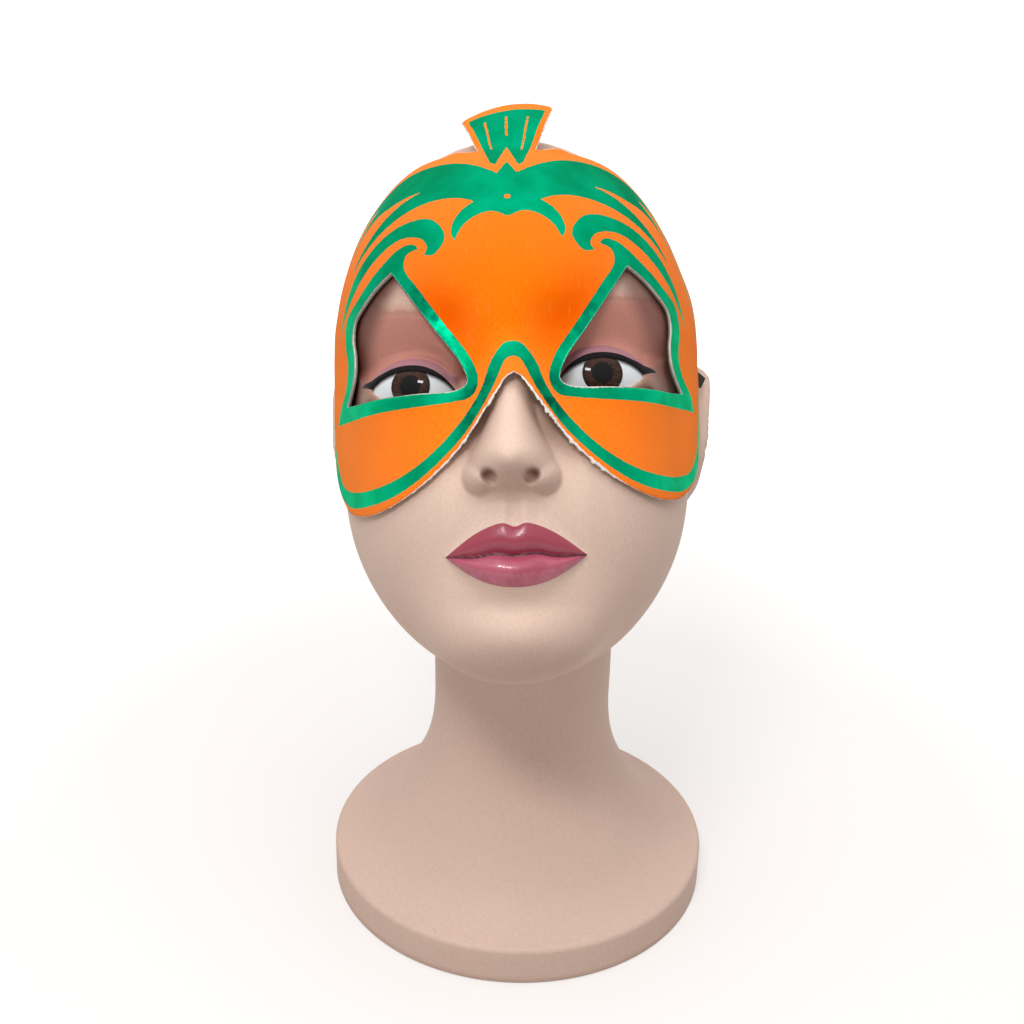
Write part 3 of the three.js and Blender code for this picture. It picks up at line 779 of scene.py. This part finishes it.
for side, name in ((-1, "eye_left"), (1, "eye_right")):
    points, faces, out, up = eye_shell(side)
    eye = put_mesh(name, to_world(points) * MM, faces)
    put_attributes(
        eye,
        from_pupil=np.append(np.hypot(out, up), BEHIND),
        spoke=np.append(np.arctan2(up, out) / (2 * pi), 0),
        under_lid=np.append(lid_lines(out)[0] - up, BEHIND),
    )
    eye.data.materials.append(eye_paint)
    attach(eye, "root")

# The mask: one sheet of white board, covered in orange flock and printed with green foil, then die-cut
# in the flat and moulded over a form. It is worked out on its flat pattern, in mm across and up, and
# its elastic holds it on the head.
PATTERN_SCALE = 100
FORM_LEAN = radians(20)
SEAT_SHIFT = 2.9
SEAT_TURN = radians(1.7)
MASK_THICKNESS = 1.2
MASK_CLEARANCE = 1.4
SIDE_CLEARANCE = 1
RIGHT_SIDE_LIFT = 1.2
BRIDGE_LIFT = 20
DENT_DEPTH = 2.3
DENT_SIZE = (9, 10.5)
DENTS = ((-22, -8), (14.5, -10))
EYE_RELIEF = 4.5
STEM_LIFT = 9
STEM_TWIST = 2
FORM_FRONT = np.array([0, -cos(FORM_LEAN), sin(FORM_LEAN)])
FORM_UP = np.array([0, sin(FORM_LEAN), cos(FORM_LEAN)])
FORM_ACROSS = np.array([1.0, 0, 0])


def pattern_ray(a, b):
    """The way from the head's middle to a point of the pattern, whose distance is taken as an angle."""
    u = SEAT_SHIFT + a * cos(SEAT_TURN) - b * sin(SEAT_TURN)
    v = a * sin(SEAT_TURN) + b * cos(SEAT_TURN)
    angle = np.hypot(u, v) / PATTERN_SCALE + 1e-9
    share = np.sin(angle) / (angle * PATTERN_SCALE)
    return (
        np.cos(angle)[..., None] * FORM_FRONT
        + (share * u)[..., None] * FORM_ACROSS
        + (share * v)[..., None] * FORM_UP
    )


def dents(a, b):
    """1 in the middle of the two soft dents beside the bridge of the nose, and 0 away from them."""
    return sum(hump(a - across, DENT_SIZE[0]) * hump(b - up, DENT_SIZE[1]) for across, up in DENTS)


def stand_off(a, b):
    """How far the inner face stands off the head: nose bridge, dents, eye reliefs and lifted stem."""
    side = np.abs(a)
    bridge = BRIDGE_LIFT * ease(-b, 12, 62) * hump(a, 10 + 0.1 * np.clip(-b - 20, 0, 60))
    relief = EYE_RELIEF * hump(side - 58, 34) * hump(b + 26, 24)
    stem = ease(b, 66, 82) * (b - 70) * (STEM_LIFT + STEM_TWIST * (a / 17)) / 20
    stem *= 1 - ease(side, 17, 27)
    at_side = SIDE_CLEARANCE * ease(side, 105, 140) + RIGHT_SIDE_LIFT * ease(a, 95, 125)
    return MASK_CLEARANCE + bridge - DENT_DEPTH * dents(a, b) + relief + stem + at_side


def on_mask(points, depth):
    """Points of the pattern on the moulded sheet, at a depth through it from its inner face."""
    a, b = points.T
    ray = pattern_ray(a, b)
    reach = meet(FORM_CENTRE, ray, above_skull) + stand_off(a, b) + depth
    return FORM_CENTRE + ray * reach[..., None]


def blend(t, low, high, first, second):
    """From the first value at low to the second at high, in proportion."""
    return (high - t) / (high - low) * first + (t - low) / (high - low) * second


def drawn(points, step=0.8):
    """A smooth run through drawn points: centripetal Catmull-Rom pieces, sampled in even steps."""
    p = np.array(points, float)
    if len(p) == 2:
        count = max(int(np.linalg.norm(p[1] - p[0]) / step), 1)
        return p[0] + (p[1] - p[0]) * np.linspace(0, 1, count + 1)[:, None]
    p = np.concatenate([[2 * p[0] - p[1]], p, [2 * p[-1] - p[-2]]])
    knots = np.concatenate([[0], np.cumsum(np.linalg.norm(np.diff(p, axis=0), axis=1) ** 0.5)])
    pieces = []
    for k in range(1, len(p) - 2):
        t0, t1, t2, t3 = knots[k - 1:k + 3]
        t = np.linspace(t1, t2, 24, endpoint=False)[:, None]
        before = blend(t, t0, t1, p[k - 1], p[k])
        along = blend(t, t1, t2, p[k], p[k + 1])
        after = blend(t, t2, t3, p[k + 1], p[k + 2])
        pieces.append(blend(t, t1, t2, blend(t, t0, t2, before, along), blend(t, t1, t3, along, after)))
    fine = np.concatenate([*pieces, p[-2:-1]])
    length = np.concatenate([[0], np.cumsum(np.linalg.norm(np.diff(fine, axis=0), axis=1))])
    even = np.linspace(0, length[-1], max(int(length[-1] / step), 2) + 1)
    return np.stack([np.interp(even, length, fine[:, i]) for i in (0, 1)], -1)


def closed_outline(*runs, step=0.8):
    """Runs drawn one after another, each from where the last one ended, closed into one outline."""
    return np.concatenate([drawn(run, step)[:-1] for run in runs])


def distance_inside(outline, a, b):
    """Least distance to a closed outline's segments, positive inside by the even-odd rule."""
    sides = np.roll(outline, -1, axis=0) - outline
    best = np.full(a.shape, 1e9)
    inside = np.zeros(a.shape, bool)
    for (x0, y0), (dx, dy) in zip(outline, sides):
        t = np.clip(((a - x0) * dx + (b - y0) * dy) / (dx * dx + dy * dy + 1e-12), 0, 1)
        best = np.minimum(best, (a - x0 - t * dx) ** 2 + (b - y0 - t * dy) ** 2)
        if dy != 0:
            crosses = (y0 > b) != (y0 + dy > b)
            inside ^= crosses & (a < x0 + (b - y0) / dy * dx)
    return np.where(inside, 1, -1) * np.sqrt(best)


# The right half of the sheet's outline, then the right eye opening
EDGE = [
    (0, -34.7), (3, -36.6), (6, -40.8), (11, -47.5), (24, -62.5), (44, -75.4), (74, -84.2), (105, -82),
    (130, -63), (151, -26), (154, 18), (131, 61), (92, 90), (58, 91.2), (31, 79.2), (14, 71.4),
]
STEM_SIDE = [(11.4, 71.3), (17.5, 90)]
STEM_TOP = [(16.5, 91), (8.75, 92.4), (0, 93)]
EYE_OUTER = [
    (52, 22), (60.5, 21.1), (72.5, 19.2), (85.2, 16.6), (90, 9), (90.5, -2), (94, -12), (109.8, -23.4),
]
EYE_INNER = [
    (109.8, -23.4), (92, -29.6), (72.5, -33.7), (45, -37.6), (24, -39), (19.6, -36.4), (22, -28),
    (31.5, -13.3), (42.6, 5.2), (52, 22),
]
CUT_STEP = 0.8

half_edge = np.concatenate([
    drawn(EDGE, CUT_STEP), drawn(STEM_SIDE, CUT_STEP), drawn(STEM_TOP, CUT_STEP)[:-1]
])
mirror = np.array([-1, 1])
sheet_edge = np.concatenate([half_edge, [(0, 93)], half_edge[:0:-1] * mirror])
right_eye = closed_outline(EYE_OUTER, EYE_INNER, step=CUT_STEP)
cuts = [sheet_edge, right_eye, right_eye * mirror]

GRID_SPACING = 0.95
GRID_FROM_CUT = 0.6

across, up = np.meshgrid(
    np.arange(-158, 158, GRID_SPACING), np.arange(-88, 96, GRID_SPACING * 0.866)
)
across[1::2] += GRID_SPACING / 2
grid = np.stack([across.ravel(), up.ravel()], -1)


def distance_from_cuts(points):
    """How far points of the sheet are from the nearest cut edge, negative off the sheet."""
    a, b = points.T
    sheet = distance_inside(sheet_edge[::2], a, b)
    hole = distance_inside(right_eye[::2], np.abs(a), b)
    return np.minimum(sheet, -hole)


flat = np.concatenate([*cuts, grid[distance_from_cuts(grid) > GRID_FROM_CUT]])
rims = []
first = 0
for cut in cuts:
    k = np.arange(len(cut))
    rims.append(np.stack([first + k, first + (k + 1) % len(cut)], -1))
    first += len(cut)
rim_edges = np.concatenate(rims)
tris = np.array(geometry.delaunay_2d_cdt(
    [tuple(p) for p in flat.tolist()], [tuple(e) for e in rim_edges.tolist()], [], 0, 1e-6, False
)[2])
tris = tris[distance_from_cuts(flat[tris].mean(1)) > 0]
turning = np.cross(flat[tris[:, 1]] - flat[tris[:, 0]], flat[tris[:, 2]] - flat[tris[:, 0]])
tris[turning < 0] = tris[turning < 0][:, ::-1]

# The cut edge: the print's rim, then a ragged white core that stands a little proud of it
WALL = ((0.0, 1.0), (0.05, 0.86), (0.05, 0.64), (-0.10, 0.34), (0.0, 0.0))
RAGGED = 0.2
TORN_OUT = 2.6
UNDERCUT = 0.4
CUT_SIGNS = (1, -1, 1)

inner_wall = WALL[1:-1]
count = len(flat)
across, up = flat.T
board_waves = 0.10 * np.sin(across / 7.3 + 1.1 * np.sin(up / 9.1)) * np.sin(up / 6.1 + 0.7)
rim_count = len(rim_edges)
rim_signs = np.repeat(CUT_SIGNS, [len(cut) for cut in cuts])
outward = []
ragged = []
rng = np.random.default_rng(4)
for cut, sign in zip(cuts, CUT_SIGNS):
    tangent = np.roll(cut, -1, axis=0) - np.roll(cut, 1, axis=0)
    normal = np.stack([tangent[:, 1], -tangent[:, 0]], -1)
    outward.append(sign * normal / np.linalg.norm(normal, axis=1)[:, None])
    rough_walk = rng.normal(size=(len(cut), len(inner_wall)))
    ragged.append((rough_walk + np.roll(rough_walk, 1, axis=0)) / 2)
outward = np.concatenate(outward)
ragged = np.concatenate(ragged)


def beside_notch(points):
    """How much of the white core shows: most right of the nose notch, less left of it, else none."""
    a, b = points.T
    along = ease(-b, 32, 44) * ease(-b, 78, 68) * (np.abs(a) < 50)
    return along * np.where(a > 0, 1, 0.6)


under = flat.copy()
under[:rim_count] -= UNDERCUT * outward
levels = [on_mask(flat, MASK_THICKNESS + board_waves), on_mask(under, 0)]
for level, (proud, share) in enumerate(inner_wall):
    reach = proud + RAGGED * np.abs(ragged[:, level])
    reach *= 1 + TORN_OUT * beside_notch(flat[:rim_count])
    levels.append(on_mask(flat[:rim_count] + outward * reach[:, None], MASK_THICKNESS * share))

wall_first = [0, *(2 * count + rim_count * np.arange(len(inner_wall))), count]
faces = [tris, tris[:, ::-1] + count]
kinds = [np.zeros(len(tris)), np.full(len(tris), 2)]
flip = np.tile(rim_signs, 2) < 0
for above, below in zip(wall_first, wall_first[1:]):
    (upper_a, upper_b), (lower_a, lower_b) = rim_edges.T + above, rim_edges.T + below
    strip = np.concatenate([
        np.stack([upper_b, upper_a, lower_a], -1), np.stack([upper_b, lower_a, lower_b], -1)
    ])
    strip[flip] = strip[flip][:, ::-1]
    faces.append(strip)
    kinds.append(np.full(len(strip), 1))
mask = put_mesh("mask_sheet", to_world(np.concatenate(levels)) * MM, np.concatenate(faces))
mask.data.polygons.foreach_set("material_index", np.concatenate(kinds).astype(np.int32))

# The foil print: each shape is half of a mirrored figure, drawn a little past the middle line
CROWN = (
    [(-3, 66.4), (0, 60.3), (3.7, 52.8)],
    [(3.7, 52.8), (13.5, 60.9), (26.4, 69.4), (45, 79.2), (59, 84), (80, 81), (104, 68), (126, 42),
     (142, 6)],
    [(142, 6), (132, 30), (118, 50), (102, 65), (86, 74), (70, 76), (61, 73.8)],
    [(61, 73.8), (67, 71.5), (75, 69), (84, 65), (92, 59)],
    [(92, 59), (81, 64.5), (70, 65.6), (61, 64.6), (54, 62), (46, 59.5), (35.3, 56)],
    [(35.3, 55.6), (44.6, 56.4), (57, 55.3), (68, 52.8), (78, 49.6), (84, 46.5)],
    [(84, 46.5), (70, 48), (55, 48.6), (40.4, 47.7), (26.5, 45), (18.2, 42), (12.4, 38.9)],
    [(12.4, 38.9), (17.1, 36.2), (21.1, 31.2), (22.1, 26.6), (20.8, 22.6)],
    [(20.8, 22.6), (17.7, 27.8), (12.8, 31.4), (6.5, 32.8), (0, 30)],
    [(0, 30), (-3, 28.5)],
)
SCROLL = (
    [(34.9, 21.6), (30, 19.6), (24.8, 25.3), (30, 36), (45.4, 42.6), (62.5, 43.7), (88.2, 38.1),
     (111.4, 22.2)],
    [(111.4, 22.2), (93.5, 29.2), (63.8, 35.3), (46, 35.1), (34.6, 28.5), (32.8, 23.2), (34.9, 21.6)],
)
EYE_BAND = (
    [(36.4, 25), (39.7, 29), (46, 30.6), (60, 28.4), (76.5, 25.8), (95, 24), (101.8, 12), (101.5, 3.8),
     (103.4, -3.8), (110.4, -12), (122.2, -19.2), (128.3, -28.5)],
    [(128.3, -28.5), (94.7, -37.2), (53, -42.5), (26.8, -43.7), (17.4, -42.3), (14.6, -36.7), (17.4, -26.9),
     (28.2, -9.8), (38.3, 7.5), (44.6, 20), (43.2, 25.1), (38.2, 25.6), (36.4, 25)],
)
BORDER = (
    [(-3.3, -21.6), (0, -20.9), (3.3, -21.6), (8.9, -28.9), (13.4, -40.5), (22.5, -52.3), (35.6, -63),
     (54, -70.8), (87, -74.8), (110, -71), (122, -62), (134, -45), (142.5, -25), (146, -5), (150.5, 20)],
    [(150.5, 20), (152, 5), (150.5, -12), (146.5, -30), (138, -49), (126.5, -67.5), (103, -80.5),
     (65.5, -79.2), (41.3, -71.5), (20.9, -57.2), (8.9, -41.6), (2.5, -28.8), (0, -27.9), (-2.5, -28.8)],
    [(-2.5, -28.8), (-3.3, -21.6)],
)
STEM_PRINT = (
    [(-3, 89.6), (8, 89.3), (15, 88.6)], [(15, 88.6), (9.2, 71.3), (6.5, 60)], [(6.5, 60), (4.4, 58.2)],
    [(4.4, 58.2), (-1.2, 76)], [(-1.2, 76), (-3, 89.6)],
)
STEM_RIBS = (
    ([(5.4, 70), (6.2, 70)], [(6.2, 70), (8.8, 85)], [(8.8, 85), (7.9, 85.2)], [(7.9, 85.2), (5.4, 70)]),
    ([(-0.5, 77), (0.5, 77)], [(0.5, 77), (0.5, 86)], [(0.5, 86), (-0.5, 86)], [(-0.5, 86), (-0.5, 77)]),
)
DOT = (0, 39.5, 1.2)


def foil_distance(points):
    """Distance inside the foil, negative on the orange: the most of its shapes', less the gaps."""
    a, b = points.T

    def inside(shapes):
        return np.max([distance_inside(closed_outline(*shape), np.abs(a), b) for shape in shapes], axis=0)

    gaps = np.maximum(inside(STEM_RIBS), DOT[2] - np.hypot(a - DOT[0], b - DOT[1]))
    return np.minimum(inside((CROWN, SCROLL, EYE_BAND, BORDER, STEM_PRINT)), -gaps)


foil = foil_distance(flat)
from_cut = np.maximum(distance_from_cuts(flat), 0)
pattern = np.concatenate([flat, flat, *[flat[:rim_count]] * len(inner_wall)])
across, up = pattern.T
row_shares = [1, 0, *[share for _, share in inner_wall]]
through = np.repeat(row_shares, [count, count] + [rim_count] * len(inner_wall))
# Where shade is painted on the sheet: in the dents beside the bridge, and on the foil beside the nose notch.
above_bridge = up + 7
beside_bridge = np.abs(across + 2.5) - 25.5 - 0.5 * above_bridge
outer_corner = 0.35 * ease(np.abs(across), 84, 90) * (up > -24) * (up < 12)
put_attributes(
    mask,
    foil=np.concatenate([foil, np.full(count, -OFF), np.tile(foil[:rim_count], len(inner_wall))]),
    across=across,
    up=up,
    clean_core=np.clip(ease(through, 0.25, 0.62) + 1.2 * beside_notch(pattern), 0, 1),
    dent=hump(beside_bridge, 12) * hump(above_bridge, 18),
    notch=hump(np.abs(across) - 14, 10) * hump(up + 45, 13),
    from_cut=np.concatenate([from_cut, np.zeros(len(pattern) - count)]),
    torn=0.04 + 0.45 * beside_notch(pattern) + outer_corner,
)

ORANGE = (0.98, 0.218, 0.003, 1)
ORANGE_GLOW = (1.0, 0.19, 0.0, 1)
ORANGE_PALE = (0.95, 0.34, 0.11, 1)
ORANGE_DEEP = (0.90, 0.147, 0.001, 1)
ORANGE_DENT = (0.68, 0.075, 0.0, 1)
FOIL_GREEN = (0.0, 0.50, 0.245, 1)
FOIL_DEEP = (0.0, 0.38, 0.17, 1)
FOIL_DARK = (0.0, 0.12, 0.065, 1)
FOIL_TINT = (0.12, 0.60, 0.42, 1)
CORE_WHITE = (0.78, 0.75, 0.71, 1)
CORE_SHADED = (0.16, 0.12, 0.09, 1)
LINING_WHITE = (0.62, 0.60, 0.57, 1)
DENT_SHARE = 0.85
FLOCK_ROUGH = 0.85

board, tree, shader = new_material("flock_and_foil")
pattern_up = read_attribute(tree, "up")
on_pattern = add_node(tree, "CombineXYZ", {"X": read_attribute(tree, "across"), "Y": pattern_up}).outputs[0]
print_wander = ranged(tree, noise(tree, 0.9, vector=on_pattern), 0.2, 0.8, -0.22, 0.22, False)
foil_value = reckon(tree, "ADD", read_attribute(tree, "foil"), print_wander)
foil_share = ranged(tree, foil_value, -0.08, 0.08)
fibres = noise(tree, 1.6, 4, (1, 0.35, 1), on_pattern)
broad = noise(tree, 0.06, vector=on_pattern)
flock = mixed(tree, ranged(tree, fibres, 0.3, 0.72), ORANGE_DEEP, ORANGE)
flock = mixed(tree, ranged(tree, broad, 0.3, 0.75, 0.0, 0.3), flock, ORANGE_DEEP)
# Painted shade: the flock deepens towards the top of the sheet.
flock = mixed(tree, ranged(tree, pattern_up, -25.0, 30.0, 0.0, 0.75), flock, ORANGE_DEEP)
# Painted sheen: the flock turns paler where it faces away from the view.
turned_off = add_node(tree, "LayerWeight", {"Blend": 0.35}).outputs["Facing"]
flock = mixed(tree, product(tree, turned_off, 0.6), flock, ORANGE_PALE)
# Painted shade in the two dents beside the bridge of the nose.
dent = read_attribute(tree, "dent")
flock = mixed(tree, product(tree, dent, DENT_SHARE), flock, ORANGE_DENT)
scratches = ranged(tree, noise(tree, 1.3, 2, (1, 0.07, 1), on_pattern), 0.62, 0.74, 0.0, 0.2)
flock = mixed(tree, scratches, flock, ORANGE_PALE)
patches = ranged(tree, noise(tree, 0.18, 2, vector=on_pattern), 0.35, 0.6, 0.25, 0.95)
# Painted shade on the foil in the dents and beside the nose notch, broken into patches.
in_hollow = reckon(tree, "ADD", dent, read_attribute(tree, "notch"))
green = mixed(tree, ranged(tree, broad, 0.35, 0.65), FOIL_GREEN, FOIL_DEEP)
green = mixed(tree, product(tree, in_hollow, patches), green, FOIL_DARK)
tear = ranged(tree, noise(tree, 0.55, 4, vector=on_pattern), 0.3, 0.7, 0.15, 1.5, False)
tear = product(tree, tear, read_attribute(tree, "torn"))
torn_share = ranged(tree, reckon(tree, "SUBTRACT", tear, read_attribute(tree, "from_cut")), -0.08, 0.08)
foil_left = product(tree, foil_share, ranged(tree, torn_share, 0.0, 1.0, 1.0, 0.0, False))
streaks = noise(tree, 2.2, 3, (1, 0.12, 1), on_pattern)
foil_rough = ranged(tree, streaks, 0.3, 0.7, 0.33, 0.52, False)
rough = add_node(tree, "Mix", {0: foil_share, 2: FLOCK_ROUGH, 3: foil_rough})
bare = reckon(tree, "MAXIMUM", foil_share, torn_share)
raised = product(tree, fibres, ranged(tree, foil_share, 0.0, 1.0, 1.0, 0.12, False))
feed(tree, shader, {
    "Base Color": mixed(tree, torn_share, mixed(tree, foil_share, flock, green), CORE_WHITE),
    "Metallic": product(tree, foil_left, 0.85),
    "Roughness": rough.outputs[0],
    "Specular IOR Level": 0.05,
    "Specular Tint": FOIL_TINT,
    "Emission Color": ORANGE_GLOW,
    "Emission Strength": ranged(tree, bare, 0.0, 1.0, 0.08, 0.0, False),
    "Normal": bumped(tree, raised, 0.00012, 0.6),
})
mask.data.materials.append(board)

# The cut face has painted shade towards the sheet's inner face, and is white towards its outer face and
# beside the nose notch.
core, tree, shader = new_material("board_core")
core_colour = mixed(tree, read_attribute(tree, "clean_core"), CORE_SHADED, CORE_WHITE)
core_normal = bumped(tree, noise(tree, 2.5, 4), 0.0002, 0.7)
feed(tree, shader, {"Base Color": core_colour, "Roughness": 0.95, "Normal": core_normal})
mask.data.materials.append(core)

lining, tree, shader = new_material("board_lining")
weave = noise(tree, 1.2, 4)
lining_colour = mixed(tree, ranged(tree, weave, 0.3, 0.7), LINING_WHITE, CORE_WHITE)
lining_normal = bumped(tree, weave, 0.0001, 0.5)
feed(tree, shader, {"Base Color": lining_colour, "Roughness": 0.95, "Normal": lining_normal})
mask.data.materials.append(lining)
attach(mask, "root")
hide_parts("pumpkin_mask")

# The band: flat black woven elastic, five ribs wide. It is fixed inside the mask's side edges and stretched
# round the back of the head.
BAND_WIDTH = 5
BAND_THICKNESS = 0.9
BAND_CLEARANCE = 0.8
BAND_START = radians(86)
BAND_LOW = radians(10)
BAND_HIGH = radians(24.5)
BAND_STEPS = 420
BAND_RIBS = 5
BAND_RISES = (0, 0.07)
BAND_SIDES = 40
BAND_RUN = 250.0
RIB_SPACING = 0.9


def ribbon(route, outward):
    """A ribbed strip along a line: its section is a flat superellipse, closed to a point at both ends."""
    outward = outward / np.linalg.norm(outward, axis=1)[:, None]
    wide = np.cross(outward, np.gradient(route, axis=0))
    wide /= np.linalg.norm(wide, axis=1)[:, None]
    around = np.linspace(0, 2 * pi, BAND_SIDES + 1)[:-1]
    across, high = (np.sign(wave) * np.abs(wave) ** 0.35 for wave in (np.cos(around), np.sin(around)))
    high *= BAND_THICKNESS / 2 * (1 - 0.12 * (1 - np.cos(across * BAND_RIBS * pi)) / 2)
    points = route[:, None] + outward[:, None] * high[:, None]
    points += wide[:, None] * (across * BAND_WIDTH / 2)[:, None]
    points = np.concatenate([route[:1], points.reshape(-1, 3), route[-1:]])
    return points, loop_triangles(len(route), BAND_SIDES)


# The band's middle line on the head: rays that swing round the back and rise over the ears
share = np.linspace(0, 1, BAND_STEPS + 1)
turn = BAND_START + (2 * pi - 2 * BAND_START) * share
rise = BAND_LOW + (BAND_HIGH - BAND_LOW) * ease(0.5 - np.abs(share - 0.5), *BAND_RISES)
ray = np.stack([np.sin(turn) * np.cos(rise), -np.cos(turn) * np.cos(rise), np.sin(rise)], -1)
route = FORM_CENTRE + ray * meet(FORM_CENTRE, ray, above_skull)[:, None]
nudges = 0.5 * np.eye(3)
outward = np.stack([above_skull(route + nudge) - above_skull(route - nudge) for nudge in nudges], -1)
lifted = route + outward / np.linalg.norm(outward, axis=1)[:, None] * (BAND_CLEARANCE + BAND_THICKNESS / 2)
band_points, band_triangles = ribbon(lifted, outward)
band = put_mesh("woven_band", to_world(band_points) * MM, band_triangles)
run = np.repeat(np.linspace(0, BAND_RUN, BAND_STEPS + 1), BAND_SIDES)
put_attributes(band, run=np.concatenate([[0], run, [BAND_RUN]]))

BAND_BLACK = (0.012, 0.011, 0.011, 1)
BAND_WORN = (0.045, 0.04, 0.038, 1)

elastic, tree, shader = new_material("woven_elastic")
wave = reckon(tree, "SINE", product(tree, read_attribute(tree, "run"), 2 * pi / RIB_SPACING))
ribs = ranged(tree, wave, -1.0, 1.0)
rib_colour = mixed(tree, ribs, BAND_BLACK, BAND_WORN)
rib_normal = bumped(tree, ribs, 0.00015, 0.8)
feed(tree, shader, {"Base Color": rib_colour, "Roughness": 0.85, "Normal": rib_normal})
band.data.materials.append(elastic)
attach(band, "root")
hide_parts("elastic_band")

# The band's cut end: the same elastic, left hanging out from under the mask's right side edge.
# It bends once on its way, from under the board to the front of the ear.
TAIL_STEPS = 16
TAIL_RUN = 12
TAIL_BENDS = np.array([(68.9, -7.5, 31.0), (69.6, -2.0, 31.0), (74.6, 1.5, 27.0)])

t = np.linspace(0, 1, TAIL_STEPS + 1)[:, None]
tail_route = (1 - t) ** 2 * TAIL_BENDS[0] + 2 * t * (1 - t) * TAIL_BENDS[1] + t**2 * TAIL_BENDS[2]
tail_outward = np.cross(np.gradient(tail_route, axis=0), (0.0, 0.0, 1.0))
tail_points, tail_triangles = ribbon(tail_route, tail_outward)
tail = put_mesh("band_end", to_world(tail_points) * MM, tail_triangles)
put_attributes(tail, run=np.concatenate([[0], np.repeat(t * TAIL_RUN, BAND_SIDES), [TAIL_RUN]]))
tail.data.materials.append(elastic)
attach(tail, "root")
